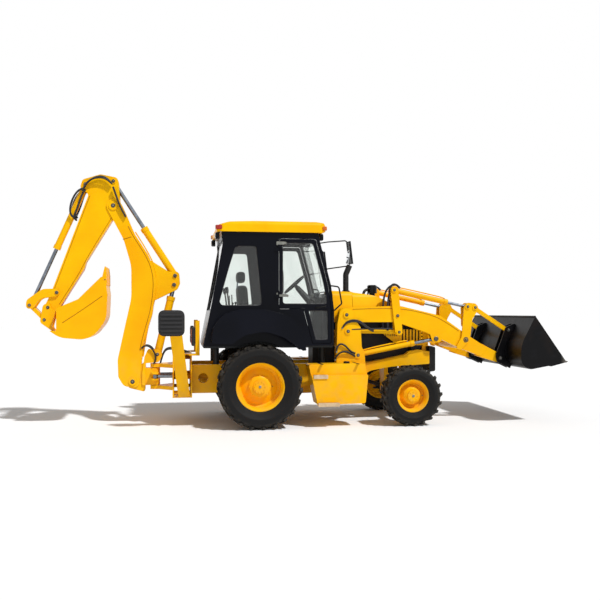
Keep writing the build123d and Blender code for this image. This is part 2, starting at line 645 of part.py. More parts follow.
def dipper():
    """The tapered dipper with its slotted tail and the boss for the bucket."""
    arm = plate([
        (-2050, 3690, 62), (-2300, 3735, 60), (-2560, 3650, 60), (-2600, 3520, 60),
        (-2468, 3440, 60), (-3010, 1960, 80), (-3130, 1700, 80), (-3000, 1665, 80),
        (-2872, 1765, 60), (-2538, 2316, 100), (-2511, 2415, 100), (-2111, 3084, 100),
        (-2010, 3240, 100), (-2030, 3560, 60)
    ], -DIPPER_HALF, DIPPER_HALF)
    arm -= plate([(-1980, 3395, 0), (-1980, 3800, 0), (-2228, 3800, 0), (-2228, 3400, 20)], -56, 56)
    arm -= plate([(-2420, 3760, 0), (-2640, 3760, 0), (-2640, 3400, 0), (-2490, 3400, 0),
                  (-2420, 3560, 0)], -56, 56)
    arm -= disc(HEAD_PIN, PIN_R + 7 + PIN_FIT, -80, 80)
    arm -= disc(DIG_PIN, PIN_R + PIN_FIT, -80, 80)
    arm += disc(CURL_PIN, PIN_R, -DIPPER_HALF - 10, DIPPER_HALF + 10)
    for y in (-DIPPER_HALF - 10, DIPPER_HALF):
        arm += disc(CROWD_EYE, PIN_R + 12, y, y + 10)
    arm += disc(TIP_PIN, PIN_R, -118, 118)
    return arm


def crowd_barrel():
    return barrel(CROWD_PIN, CROWD_EYE, 0, CROWD_LONG, 54, 30, 56, 60)


def crowd_rod():
    return piston(CROWD_PIN, CROWD_EYE, 0, CROWD_LONG, 30, 50, 50, 90)


def curl_barrel():
    return barrel(CURL_PIN, KNUCKLE, 0, CURL_LONG, 50, 28, 54, 50)


def curl_rod():
    return piston(CURL_PIN, KNUCKLE, 0, CURL_LONG, 28, 46, 38, 600)


def tipping_lever():
    """Two side plates from the dipper to the knuckle, with stub pins for the link."""
    body = None
    for y in (-112, 90):
        half = plate([
            (-2870, 1960, 55), (-2925, 2022, 45), (-3130, 2015, 160), (-3355, 1850, 90),
            (-3362, 1725, 50), (-3262, 1722, 50), (-3160, 1880, 120), (-2930, 1905, 50)
        ], y, y + 22)
        half -= disc(TIP_PIN, PIN_R + PIN_FIT, y - 1, y + 23)
        body = half if body is None else body + half
    body += disc(KNUCKLE, PIN_R, 44, 120)
    body += disc(KNUCKLE, PIN_R, -120, -44)
    return body


def bucket_link():
    """The forked link from the knuckle to the bucket's outer ear."""
    body = disc(DIG_EAR, 44, -DIPPER_HALF, DIPPER_HALF)
    dx = DIG_EAR[0] - KNUCKLE[0]
    dz = DIG_EAR[1] - KNUCKLE[1]
    middle = Pos((KNUCKLE[0] + DIG_EAR[0]) / 2, 0, (KNUCKLE[1] + DIG_EAR[1]) / 2)
    body += middle * Rot(0, -degrees(atan2(dz, dx)), 0) * Box(hypot(dx, dz), 2 * DIPPER_HALF, 56)
    body += disc(KNUCKLE, KNUCKLE_BOSS, -DIPPER_HALF, DIPPER_HALF)
    body -= disc(KNUCKLE, 96, -44, 44)
    body -= disc(KNUCKLE, PIN_R + PIN_FIT, -DIPPER_HALF, DIPPER_HALF)
    return body


def backhoe_bucket():
    """The digging bucket: curved shell between side plates, ears and five teeth."""
    wall = 14
    shell = [
        (-3000, 1690, 60), (-2598, 1862, 0), (-2276, 2187, 0), (-2215, 2210, 0), (-2180, 1930, 0),
        (-2195, 1560, 330), (-2420, 1260, 330), (-2860, 1300, 330), (-3165, 1520, 60),
        (-3120, 1790, 70), (-3020, 1810, 60)
    ]
    inside = [
        (-2940, 1700, 60), (-2598, 1890, 0), (-2300, 2230, 0), (-2236, 2200, 0), (-2197, 1930, 0),
        (-2211, 1570, 318), (-2430, 1278, 318), (-2850, 1318, 318), (-3000, 1440, 60)
    ]
    body = plate(shell, -DIG_HALF, DIG_HALF)
    body -= plate(inside, -DIG_HALF + wall, DIG_HALF - wall)
    body -= block(-3300, -2905, -84, 84, 1400, 1900)
    body -= block(-2905, -2800, -84, 84, 1600, 1900)
    for side in (1, -1):
        low = 109 if side > 0 else -DIG_HALF
        body -= block(-3300, -2905, low, low + DIG_HALF - 109, 1400, 1900)
    body += disc(DIG_PIN, PIN_R, -109, 109)
    for side in (1, -1):
        body += disc(DIG_EAR, 44, side * 96.5 - 12.5, side * 96.5 + 12.5)
    for i in range(5):
        y = -DIG_HALF + 30 + i * (2 * DIG_HALF - 60) / 4
        body += plate([(-2268, 2130, 0), (-2188, 2070, 0), (-2190, 2225, 0), (-2204, 2345, 8),
                       (-2218, 2345, 8), (-2245, 2235, 0)], y - 28, y + 28)
    return body


def leg():
    """A left stabilizer leg, an open channel that leans back, with its street pad."""
    arm = rib([
        (430, 470, 55), (560, 415, 55), (620, 520, 100), (1060, 1395, 30), (1040, 1460, 40),
        (950, 1490, 40), (480, 620, 100)
    ], LEG_X - LEG_HALF, LEG_X + LEG_HALF)
    arm -= rib([(380, 560, 0), (632, 580, 40), (1036, 1384, 0), (640, 1600, 0), (380, 1000, 0)],
               LEG_X - LEG_HALF + 14, LEG_X + LEG_HALF - 14)
    arm += rib([(880, 1360, 0), (1010, 1395, 0), (1040, 1460, 30), (950, 1490, 30)],
               LEG_X - LEG_HALF, LEG_X + LEG_HALF)
    pivot = Pos(LEG_X, LEG_PIN[0], LEG_PIN[1])
    arm = pivot * Rot(0, -LEG_LEAN, 0) * pivot.inverse() * arm
    pad_x = LEG_X - (PAD_Z - LEG_PIN[1]) * tan(radians(LEG_LEAN)) + PAD_BACK
    pad = face([
        (pad_x - PAD_HALF, PAD_Z - PAD_HALF, 90), (pad_x + PAD_HALF, PAD_Z - PAD_HALF, 90),
        (pad_x + PAD_HALF, PAD_Z + PAD_HALF, 90), (pad_x - PAD_HALF, PAD_Z + PAD_HALF, 90)
    ])
    arm += Pos(0, PAD_Y, 0) * Rot(90, 0, 0) * extrude(pad, PAD_T)
    for x in (-50, 32):
        arm += rib([(960, 1380, 0), (PAD_Y - PAD_T, PAD_Z - 130, 0), (PAD_Y - PAD_T, PAD_Z + 100, 0),
                    (950, 1500, 0)], pad_x + x, pad_x + x + 18)
    arm -= rod((-1300, LEG_PIN[0], LEG_PIN[1]), (-900, LEG_PIN[0], LEG_PIN[1]), PIN_R + PIN_FIT)
    return arm


def upright(shape):
    """A piece drawn in X and Z, turned to lie in the Y and Z plane of the stabilizers."""
    return Pos(LEG_X - LEG_CYL_BACK, 0, 0) * Rot(0, 0, 90) * shape


def leg_barrel():
    body = barrel(LEG_CYL_PIN, LEG_EYE, 0, LEG_CYL_LONG, 36, 22, 38, 40)
    return upright(body)


def leg_rod():
    return upright(piston(LEG_CYL_PIN, LEG_EYE, 0, LEG_CYL_LONG, 22, 36, 36, 470))


def cab_side():
    """The left cab wall: posts and rails round the door opening and the rear window."""
    wall = plate([
        (-802, FLOOR_Z, 0), (-673, 1819, 400), (-520, 2660, 60), (-535, ROOF_LOW, 0),
        (885, ROOF_LOW, 0), (897, 2768, 0), (1078, 2066, 600), (1124, 1696, 400),
        (1118, FLOOR_Z, 0)
    ], CAB_HALF - WALL_T, CAB_HALF)
    wall -= plate([
        (300, 1719, 20), (300, 2751, 40), (852, 2751, 40), (1036, 2066, 500), (1084, 1696, 300),
        (1084, 1209, 20), (795, 1209, 20), (663, 1719, 10)
    ], CAB_HALF - WALL_T, CAB_HALF)
    wall -= plate([
        (-335, 2640, 80), (-30, 2640, 60), (60, 1765, 80), (-590, 1765, 80), (-430, 2350, 300)
    ], CAB_HALF - WALL_T, CAB_HALF)
    wall -= disc((0, REAR_TYRE_R), ARCH_R, CAB_HALF - WALL_T, CAB_HALF)
    for low in (1880, 2560):
        wall += slab([(240, CAB_HALF, 0), (292, CAB_HALF, 0), (292, HINGE_Y + 12, 8), (240, HINGE_Y - 2, 0)],
                     low, low + 50)
        wall += Pos(HINGE_X, HINGE_Y, low + 50) * Cylinder(8, 100)
    return wall


def cab_frame():
    """The cab's walls with firewall, headers and rear panel."""
    frame = cab_side() + mirrored(cab_side())
    inside = CAB_HALF - WALL_T
    frame += plate([(1118, FLOOR_Z, 0), (1124, 1696, 0), (1096, 1960, 0), (1064, 1960, 0),
                    (1086, 1690, 0), (1080, FLOOR_Z, 0)], -inside, inside)
    frame += block(845, 888, -inside, inside, 2745, ROOF_LOW)
    frame += plate([(-802, FLOOR_Z, 0), (-697, 1700, 0), (-660, 1700, 0), (-765, FLOOR_Z, 0)],
                   -inside, inside)
    frame += block(-532, -490, -inside, inside, 2740, ROOF_LOW)
    frame += fender() + mirrored(fender())
    return frame


def door():
    """A left door, hung at its rear edge, with both windows cut and its hinge eyes."""
    gap = DOOR_GAP
    low = CAB_HALF - WALL_T
    body = plate([
        (300 + gap, 1719 + gap, 20), (300 + gap, 2751 - gap, 40), (852 - gap, 2751 - gap, 40),
        (1036 - gap, 2066, 500), (1084 - gap, 1696, 300), (1084 - gap, 1209 + gap, 20),
        (795 + gap, 1209 + gap, 20), (663 + gap, 1719 + gap, 10)
    ], low, CAB_HALF - 2)
    body -= plate([(352, 1790, 50), (352, 2696, 50), (812, 2696, 50), (984, 2066, 450), (1030, 1790, 50)],
                  low, CAB_HALF)
    body -= plate([(734, 1700, 30), (1034, 1700, 30), (1034, 1262, 30), (846, 1262, 30)], low, CAB_HALF)
    for z in (1955, 2635):
        body += slab([(306, CAB_HALF - 2, 0), (350, CAB_HALF - 2, 0), (340, HINGE_Y + 6, 0),
                      (HINGE_X, HINGE_Y + 14, 12), (HINGE_X - 6, HINGE_Y - 6, 5)], z - 22, z + 22)
        body += Pos(HINGE_X, HINGE_Y, z) * Cylinder(14, 44)
        body -= Pos(HINGE_X, HINGE_Y, z) * Cylinder(8 + PIN_FIT, 50)
    body += block(985, 1035, CAB_HALF - 2, CAB_HALF + 26, 1735, 1765)
    return body


def cab_roof():
    """The roof cap with rounded edges, four work lamps and four corner lamps."""
    cap = plate([
        (-600, ROOF_LOW, 20), (-612, 2925, 60), (-430, 2984, 300), (90, ROOF_TOP, 900),
        (820, ROOF_TOP, 300), (990, 2978, 60), (1004, 2862, 20), (950, ROOF_LOW, 0)
    ], -ROOF_HALF, ROOF_HALF)
    cap &= rib([(-ROOF_HALF, ROOF_LOW - 9, 0), (ROOF_HALF, ROOF_LOW - 9, 0), (ROOF_HALF - 8, ROOF_TOP - 5, 70),
                (8 - ROOF_HALF, ROOF_TOP - 5, 70)], -650, 1050)
    cap &= slab([(-620, 5 - ROOF_HALF, 120), (1010, 5 - ROOF_HALF, 120), (1010, ROOF_HALF - 5, 120),
                 (-620, ROOF_HALF - 5, 120)], ROOF_LOW - 9, ROOF_TOP + 10)
    for side in (1, -1):
        cap += block(-612, -560, side * 610 - 70, side * 610 + 70, 2740, 2835)
        cap += rod((-586, side * 610, 2830), (-586, side * 610, 2850), 14)
        cap += block(930, 980, side * 560 - 70, side * 560 + 70, 2745, 2838)
        cap += rod((950, side * 560, 2830), (950, side * 560, 2850), 14)
        cap += block(-618, -560, side * 690 - 35, side * 690 + 35, 2880, 2915)
        cap += block(970, 1012, side * 700 - 40, side * 700 + 40, 2900, 2940)
    return cap


def fender():
    """The left rear fender: a wide hollow shoulder over the wheel."""
    shell = plate([
        (-690, 1232, 20), (-680, 1430, 200), (-551, 1640, 300), (-280, 1712, 300), (90, 1712, 300),
        (420, 1610, 300), (600, 1419, 300), (650, 1128, 10), (600, 1122, 10), (320, 1318, 300),
        (60, 1400, 400), (-230, 1350, 300), (-412, 1222, 60)
    ], CAB_HALF, FENDER_Y)
    t = FENDER_WALL
    shell -= plate([
        (-690 + t, 1000, 0), (-680 + t, 1428, 188), (-543, 1632, 288), (-280, 1712 - t, 288),
        (90, 1712 - t, 288), (414, 1601, 288), (590, 1414, 288), (650 - t, 1000, 0)
    ], CAB_HALF + t, FENDER_Y - t)
    shell -= disc((0, REAR_TYRE_R), ARCH_R, CAB_HALF, CAB_HALF + t)
    return shell


def cab_base():
    """Floor, wheel arches, fenders, mounts, console and steering column."""
    inside = CAB_HALF - WALL_T
    floor = block(-790, 1110, -inside, inside, FLOOR_Z - 30, FLOOR_Z)
    for side in (1, -1):
        floor -= disc((0, REAR_TYRE_R), ARCH_R, min(side * ARCH_IN, side * inside),
                      max(side * ARCH_IN, side * inside))
    arch = disc((0, REAR_TYRE_R), ARCH_R + 10, ARCH_IN - 10, inside)
    arch -= disc((0, REAR_TYRE_R), ARCH_R, ARCH_IN, inside)
    arch -= block(-800, 800, 0, CAB_HALF, -200, FLOOR_Z - 30)
    floor += arch + mirrored(arch)
    for x in (-600, 1000):
        for y in (-430, 430):
            floor += Pos(x, y, (RAIL_TOP + FLOOR_Z - 30) / 2) * Cylinder(45, FLOOR_Z - 30 - RAIL_TOP)
    floor += plate([(760, FLOOR_Z, 0), (1060, FLOOR_Z, 0), (1060, 1900, 30), (960, 1900, 30),
                    (900, 1500, 100)], -140, 140)
    floor += rod((980, 0, 1740), (655, 0, 2096), 30)
    floor += block(-260, 140, -200, 200, FLOOR_Z, SEAT_Z)
    for side in (1, -1):
        floor += block(-330, -60, side * 300 - 60, side * 300 + 60, FLOOR_Z, 1660)
        for x in (-290, -200, -110):
            floor += rod((x, side * 300, 1650), (x - 10, side * 300, 1800), 9)
            floor += Pos(x - 10, side * 300, 1810) * Sphere(19)
    wheel = Torus(195, 15)
    hub = Cylinder(45, 30)
    for turn in (90, 210, 330):
        hub += Rot(0, 0, turn) * Pos(100, 0, 0) * Box(190, 26, 12)
    floor += Pos(645, 0, 2107) * Rot(0, -42.4, 0) * (wheel + hub)
    return floor


def seat():
    """The soft squab, backrest and headrest of the driver's seat."""
    pads = plate([(-230, SEAT_Z + 1, 20), (220, SEAT_Z + 1, 60), (230, 1590, 60), (-200, 1600, 60)], -240, 240)
    pads += plate([(-250, 1540, 60), (-130, 1580, 40), (-170, 2080, 60), (-270, 2080, 60)], -220, 220)
    pads += plate([(-275, 2110, 40), (-185, 2110, 40), (-190, 2270, 40), (-275, 2270, 40)], -130, 130)
    pads += block(-250, -220, -20, 20, 2060, 2130)
    return pads


def hood_shell(corners, inner):
    """A hood outline with rounded shoulders, hollow and open below."""
    skin = plate(corners, -HOOD_HALF, HOOD_HALF)
    tall = max(z for x, z, r in corners)
    low = min(z for x, z, r in corners)
    skin &= rib([(-HOOD_HALF, low, 0), (HOOD_HALF, low, 0), (HOOD_HALF, 1700, 600),
                 (HOOD_HALF - 90, tall, 120), (-HOOD_HALF + 90, tall, 120), (-HOOD_HALF, 1700, 600)],
                1000, 2800)
    skin -= plate(inner, -HOOD_HALF + HOOD_T, HOOD_HALF - HOOD_T) & rib([
        (-HOOD_HALF + HOOD_T, 1000, 0), (HOOD_HALF - HOOD_T, 1000, 0),
        (HOOD_HALF - HOOD_T, 1700, 592), (HOOD_HALF - 90, tall - HOOD_T, 112),
        (-HOOD_HALF + 90, tall - HOOD_T, 112), (-HOOD_HALF + HOOD_T, 1700, 592)], 1000, 2800)
    return skin


def hood():
    """The tilting hood from the scuttle seam to the nose."""
    t = HOOD_T
    skin = hood_shell([
        (HOOD_BACK, HOOD_LOW, 0), (HOOD_BACK, 1983, 10), (1838, 1930, 400), (1985, 1870, 300),
        (2200, 1730, 300), (HOOD_NOSE - 84, 1640, 120), (HOOD_NOSE - 2, 1560, 60), (HOOD_NOSE, HOOD_LOW, 0)
    ], [
        (HOOD_BACK - 20, 1000, 0), (HOOD_BACK - 20, 1975, 0), (1836, 1922, 392), (1980, 1861, 300),
        (2196, 1722, 300), (HOOD_NOSE - 88, 1632, 112), (HOOD_NOSE - 2 - t, 1553, 52),
        (HOOD_NOSE - t, 1000, 0)
    ])
    skin -= Pos(INTAKE[0], INTAKE[1], 1900) * Cylinder(INTAKE_R, 200)
    for side in (1, -1):
        strap = plate([(HOOD_HINGE[0] - 12, HOOD_HINGE[1] - 12, 11), (HOOD_HINGE[0] + 70, 1968, 0),
                       (HOOD_HINGE[0] + 70, 1986, 0), (HOOD_HINGE[0] - 12, HOOD_HINGE[1] + 12, 11)],
                      side * 90 - 20, side * 90 + 20)
        skin += strap - disc(HOOD_HINGE, 7 + PIN_FIT, side * 90 - 20, side * 90 + 20)
    return skin


def engine_cowl():
    """Fixed scuttle, side panels with louvre slots and the nose grille."""
    scuttle = hood_shell([
        (1180, HOOD_LOW - 4, 0), (1180, 2006, 10), (HOOD_BACK - 6, 1984, 10), (HOOD_BACK - 6, HOOD_LOW - 4, 0)
    ], [
        (1100, 1000, 0), (1100, 2000, 0), (1500, 1976, 0), (1500, 1000, 0)
    ])
    panel = plate([(1180, 1380, 0), (1180, HOOD_LOW - 4, 0), (HOOD_NOSE, HOOD_LOW - 4, 0), (HOOD_NOSE, 1160, 60),
                   (2200, 1160, 60), (1900, 1380, 60)], HOOD_HALF - HOOD_T, HOOD_HALF)
    for i in range(7):
        panel -= plate([(2260 + 52 * i, 1230, 0), (2282 + 52 * i, 1230, 0), (2282 + 52 * i, 1460, 0),
                        (2260 + 52 * i, 1460, 0)], HOOD_HALF - HOOD_T, HOOD_HALF)
    cowl = scuttle + panel + mirrored(panel)
    nose = block(HOOD_NOSE - 12, HOOD_NOSE, -HOOD_HALF, HOOD_HALF, 1160, HOOD_LOW - 4)
    for i in range(6):
        nose -= block(HOOD_NOSE - 12, HOOD_NOSE, 90 - HOOD_HALF, HOOD_HALF - 90, 1195 + 52 * i, 1221 + 52 * i)
    cowl += nose
    cowl += block(HOOD_NOSE - 84, HOOD_NOSE, -HOOD_HALF, HOOD_HALF, 1148, 1160)
    mount = block(HOOD_NOSE - 84, HOOD_NOSE - 24, RAIL_IN - 30, RAIL_IN, 1040, 1150)
    mount += block(1300, 1360, HOOD_HALF - HOOD_T, RAIL_OUT, 1390, 1450)
    cowl -= Pos(STACK[0], STACK[1], 2000) * Cylinder(STACK_FOOT, 100)
    for y in (50, 116):
        mount += plate([(1400, 1985, 0), (HOOD_BACK - 8, 1975, 0), (HOOD_HINGE[0] + 12, HOOD_HINGE[1] - 10, 6),
                        (HOOD_HINGE[0] + 12, HOOD_HINGE[1] + 12, 10), (HOOD_HINGE[0] - 12, HOOD_HINGE[1] + 12, 10)],
                       y, y + 14)
    mount += disc(HOOD_HINGE, 7, 50, 130)
    return cowl + mount + mirrored(mount)


def side_tank():
    """The left side tank with its ledge, two treads and the bracket to the rail."""
    tank = plate([(711, 915, 30), (1550, 920, 30), (1583, 750, 10), (1544, 345, 30), (833, 330, 30)],
                 TANK_IN, TANK_OUT)
    tank -= plate([(600, 757, 0), (1700, 757, 0), (1700, 1000, 0), (600, 1000, 0)], TANK_OUT - 60, TANK_OUT)
    tank += block(770, 985, TANK_OUT - 60, TANK_OUT + 14, 740, 757)
    tank += plate([(826, 330, 0), (1150, 340, 0), (1150, 358, 0), (829, 348, 0)], TANK_OUT, TANK_OUT + 60)
    tank += block(800, 1120, RAIL_OUT, TANK_IN, 600, 700)
    return tank


def exhaust_stack():
    """The bent exhaust pipe standing on the scuttle."""
    x, y = STACK
    pipe = tube([(x, y, 1960), (x, y, 2260), (x + 60, y, 2400)], [90], 44)
    pipe -= tube([(x, y, 2100), (x, y, 2260), (x + 67, y, 2416)], [90], 38)
    return pipe + Pos(x, y, 1985) * Cylinder(STACK_FOOT, 50)


def air_precleaner():
    """The mushroom cap of the air intake on the hood."""
    x, y = INTAKE
    cap = Pos(x, y, 2030) * Cylinder(76, 120)
    cap += Pos(x, y, 2092) * Cylinder(60, 16)
    return cap + Pos(x, y, 1940) * Cylinder(INTAKE_R, 90)


def mirrors_and_rails():
    """Mirror loops with their heads and the grab rails at the front posts."""
    loop = tube([(890, CAB_HALF, 2687), (1010, 850, 2700), (1281, 905, 2719), (1325, 905, 2352),
                 (1040, 850, 2312), (1000, CAB_HALF, 2307)], [30, 40, 40, 30], 9)
    head = Pos(1312, 950, 2535) * Rot(0, -7, 0) * Box(26, 190, 330)
    rail = tube([(1070, CAB_HALF, 2062), (1080, 800, 2060), (1184, 800, 2046), (1228, 800, 1800),
                 (1120, 790, 1700), (1104, CAB_HALF, 1697)], [5, 40, 30, 12], 11)
    outside = block(800, 1400, CAB_HALF, FENDER_Y, 1600, 2800)
    side = (loop + head) & outside
    rail &= outside
    return Compound([side, rail, mirrored(side), mirrored(rail)])


PIECES = {}


def add(name, shape):
    """Names a finished piece."""
    PIECES[name] = shape


def twin(name, shape):
    """Names a left piece and its right twin."""
    add(name + "_left", shape)
    add(name + "_right", mirrored(shape))


def main():
    for maker in (chassis_frame, rear_frame, nose_bumper, drivetrain, engine_cowl, hood,
                  exhaust_stack, air_precleaner, cab_base, cab_frame, cab_roof, seat,
                  mirrors_and_rails, loader_arms, loader_bucket, swing_post, boom, boom_barrel,
                  boom_rod, dipper, crowd_barrel, crowd_rod, curl_barrel, curl_rod, tipping_lever,
                  bucket_link, backhoe_bucket):
        add(maker.__name__, maker())
    pairs = (
        ("side_tanks", side_tank), ("lift_barrels", lift_barrel), ("lift_rods", lift_rod),
        ("levelling_levers", levelling_lever), ("levelling_links", levelling_link),
        ("tilt_barrels", tilt_barrel), ("tilt_rods", tilt_rod), ("crank_bushes", crank_bush),
        ("bell_cranks", bell_crank), ("link_bushes", link_bush), ("tilt_links", tilt_link),
        ("bucket_hinge_pins", hinge_pin), ("swing_barrels", swing_barrel)
    )
    for name, maker in pairs:
        add(name, both(maker()))
    rear_place = Pos(0, REAR_TRACK, REAR_TYRE_R)
    front_place = Pos(WHEELBASE, FRONT_TRACK, FRONT_TYRE_R)
    twin("rear_tyre", rear_place * tyre(REAR_TYRE_R, REAR_TYRE_W, REAR_RIM_R, 22))
    twin("rear_rim", rear_place * rim(REAR_RIM_R, RIM_SHARE * REAR_TYRE_W, DISC_Y, 95, 60, 150))
    twin("front_tyre", front_place * tyre(FRONT_TYRE_R, FRONT_TYRE_W, FRONT_RIM_R, 20))
    twin("front_rim", front_place * rim(FRONT_RIM_R, RIM_SHARE * FRONT_TYRE_W, DISC_Y, 82, 76, 108))
    for name, maker in (("steering_knuckle", knuckle), ("swing_rod", swing_rod), ("door", door),
                        ("stabilizer_leg", leg), ("stabilizer_barrel", leg_barrel),
                        ("stabilizer_rod", leg_rod)):
        twin(name, maker())
    for name, shape in PIECES.items():
        export_step(Pos(-MID_X, 0, 0) * shape, f"parts/{name}.step")


main()
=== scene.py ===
"""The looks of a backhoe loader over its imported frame: paint, rubber, glass, hoses, seat, lamps and trim."""
from math import radians

import bpy
import numpy as np
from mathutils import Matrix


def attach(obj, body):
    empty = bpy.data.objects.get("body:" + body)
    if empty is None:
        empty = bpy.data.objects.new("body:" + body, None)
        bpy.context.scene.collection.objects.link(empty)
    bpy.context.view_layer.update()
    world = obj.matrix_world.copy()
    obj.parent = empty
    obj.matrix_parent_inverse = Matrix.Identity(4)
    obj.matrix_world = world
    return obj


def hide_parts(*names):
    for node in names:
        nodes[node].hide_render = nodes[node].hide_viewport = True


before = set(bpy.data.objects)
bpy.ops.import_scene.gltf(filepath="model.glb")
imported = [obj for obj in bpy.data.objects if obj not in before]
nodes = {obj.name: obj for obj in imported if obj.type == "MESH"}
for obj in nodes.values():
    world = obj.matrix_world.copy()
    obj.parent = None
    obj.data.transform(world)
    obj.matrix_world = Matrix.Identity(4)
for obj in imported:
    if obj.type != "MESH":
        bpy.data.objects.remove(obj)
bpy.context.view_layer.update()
scene = bpy.context.scene

AXLE_X = 633
SIDES = (("left", 1), ("right", -1))


# Mesh making


def placed(points):
    """Millimetres from the rear axle, as the machine is drawn, to metres about its middle."""
    return (np.asarray(points, float) - (AXLE_X, 0, 0)) / 1000


def skin(name, body, coat, grid, ring=False, sharp=32):
    """One mesh from rings of points, (rings, points, 3) or (copies, rings, points, 3), in millimetres.

    Each ring joins the next by quads. The first and last ring are closed by a flat face, or with ring=True they
    join each other. Where the sum of face area times outward distance is negative, the faces are turned over.
    """
    grid = placed(grid)
    grid = grid if grid.ndim == 4 else grid[None]
    copies, rings, around = grid.shape[:3]
    index = np.arange(copies * rings * around).reshape(copies, rings, around)
    near, far = (index, np.roll(index, -1, 1)) if ring else (index[:, :-1], index[:, 1:])
    quads = np.stack([near, np.roll(near, -1, 2), np.roll(far, -1, 2), far], -1).reshape(copies, -1, 4)
    flat = grid.reshape(-1, 3)
    centre = grid.mean((1, 2))[:, None]
    a, b, c, d = (flat[quads[..., k]] for k in range(4))
    volume = ((np.cross(b - a, c - a) + np.cross(c - a, d - a)) * (a - centre)).sum((1, 2))
    quads[volume < 0] = quads[volume < 0][..., ::-1]
    faces = quads.reshape(-1, 4).tolist()
    if not ring:
        first, last = index[:, 0, ::-1].copy(), index[:, -1].copy()
        first[volume < 0] = first[volume < 0][:, ::-1]
        last[volume < 0] = last[volume < 0][:, ::-1]
        faces += first.tolist() + last.tolist()
    mesh = bpy.data.meshes.new(name)
    mesh.from_pydata(flat, [], faces)
    mesh.polygons.foreach_set("use_smooth", np.ones(len(faces), bool))
    mesh.set_sharp_from_angle(angle=radians(sharp))
    mesh.update()
    mesh.materials.append(coat)
    piece = bpy.data.objects.new(name, mesh)
    scene.collection.objects.link(piece)
    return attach(piece, body)


def flow(points, steps=6):
    """A smooth line guided by points: the uniform cubic B-spline, with its end points counted three times."""
    p = np.asarray(points, float)
    p = np.concatenate([p[:1], p[:1], p, p[-1:], p[-1:]])
    t = np.linspace(0, 1, steps, endpoint=False)[:, None, None]
    w = np.stack([(1 - t) ** 3, 3 * t ** 3 - 6 * t ** 2 + 4, -3 * t ** 3 + 3 * t ** 2 + 3 * t + 1, t ** 3]) / 6
    line = w[0] * p[:-3] + w[1] * p[1:-2] + w[2] * p[2:-1] + w[3] * p[3:]
    return np.concatenate([line.transpose(1, 0, 2).reshape(-1, 3), p[-1:]])


def sweep(line, radius, sides=12, ripple=0.0, waves=0):
    """Circles carried along a line, square to it: centre + r (cos a N + sin a B), r rippled along the length."""
    line = np.asarray(line, float)
    tangent = np.gradient(line, axis=0)
    tangent /= np.linalg.norm(tangent, axis=1, keepdims=True)
    up = np.eye(3)[np.abs(tangent).max(0).argmin()]
    normal = np.cross(tangent, up)
    normal /= np.linalg.norm(normal, axis=1, keepdims=True)
    other = np.cross(tangent, normal)
    a = np.linspace(0, 2 * np.pi, sides, endpoint=False)[:, None]
    r = np.broadcast_to(np.asarray(radius, float), (len(line),)).copy()
    r = r * (1 + ripple * np.cos(np.linspace(0, 2 * np.pi * waves, len(line))))
    return line[:, None] + r[:, None, None] * (np.cos(a) * normal[:, None] + np.sin(a) * other[:, None])


AXES = {"x": (1, 2, 0), "y": (0, 2, 1), "z": (0, 1, 2)}


def turned(profile, centres, axis="y", sides=24, start=0.0, sign=1):
    """A profile of (radius, height) rows turned about an axis through each centre: r cos a, r sin a, height."""
    profile = np.asarray(profile, float)
    centres = np.asarray(centres, float).reshape(-1, 1, 1, 3)
    a = start + np.linspace(0, 2 * np.pi, sides, endpoint=False)
    grid = np.empty((1, len(profile), sides, 3))
    u, v, w = AXES[axis]
    grid[..., u] = profile[:, :1] * np.cos(a)
    grid[..., v] = profile[:, :1] * np.sin(a)
    grid[..., w] = sign * profile[:, 1:]
    return centres + grid


def rounded(corners, steps=5):
    """A closed outline of rows (a, b, radius), each corner the curve (1-s)^2 A + 2s(1-s) P + s^2 B."""
    c = np.asarray(corners, float)
    p = c[:, None, :2]
    back, ahead = np.roll(c, 1, 0)[:, None, :2] - p, np.roll(c, -1, 0)[:, None, :2] - p
    lengths = [np.linalg.norm(side, axis=2, keepdims=True) for side in (back, ahead)]
    cut = np.minimum(c[:, 2, None, None], 0.48 * np.minimum(*lengths))
    start, end = p + back / lengths[0] * cut, p + ahead / lengths[1] * cut
    s = np.linspace(0, 1, steps)[None, :, None]
    return ((1 - s) ** 2 * start + 2 * s * (1 - s) * p + s ** 2 * end).reshape(-1, 2)


def drawn_in(outline, distance):
    """The outline moved inwards, each point square to the line between its neighbours."""
    along = np.roll(outline, -1, 0) - np.roll(outline, 1, 0)
    square = np.stack([-along[:, 1], along[:, 0]], 1)
    square /= np.linalg.norm(square, axis=1, keepdims=True) + 1e-9
    x, y = outline.T
    turn = np.sign((x * np.roll(y, -1) - np.roll(x, -1) * y).sum())
    return outline + turn * distance * square


def prism(outline, low, high, axis="y", edge=2.0):
    """An outline with its thickness along an axis and its edges eased: rings drawn in, full, full, drawn in."""
    outline = np.asarray(outline, float)
    inner = drawn_in(outline, edge)
    u, v, w = AXES[axis]
    grid = np.empty((4, len(outline), 3))
    grid[:, :, u] = np.stack([inner[:, 0], outline[:, 0], outline[:, 0], inner[:, 0]])
    grid[:, :, v] = np.stack([inner[:, 1], outline[:, 1], outline[:, 1], inner[:, 1]])
    grid[:, :, w] = np.array([low, low + edge, high - edge, high])[:, None]
    return grid


def bar(x, y, z, edge=3.0, corner=6.0):
    """A block between two corners with rounded uprights and eased ends."""
    outline = rounded([(x[0], y[0], corner), (x[1], y[0], corner), (x[1], y[1], corner), (x[0], y[1], corner)])
    return prism(outline, z[0], z[1], "z", edge)


def mirror(grid):
    """The same rings on the other side of the machine."""
    return np.asarray(grid, float) * (1, -1, 1)


def on_side(grid, s):
    """The rings as drawn on the left for s = 1, or mirrored to the right for s = -1."""
    return grid if s > 0 else mirror(grid)


def pair(grid):
    """A piece and its twin on the other side, as copies of one mesh."""
    grid = np.asarray(grid, float)
    grid = grid if grid.ndim == 4 else grid[None]
    return np.concatenate([grid, mirror(grid)])


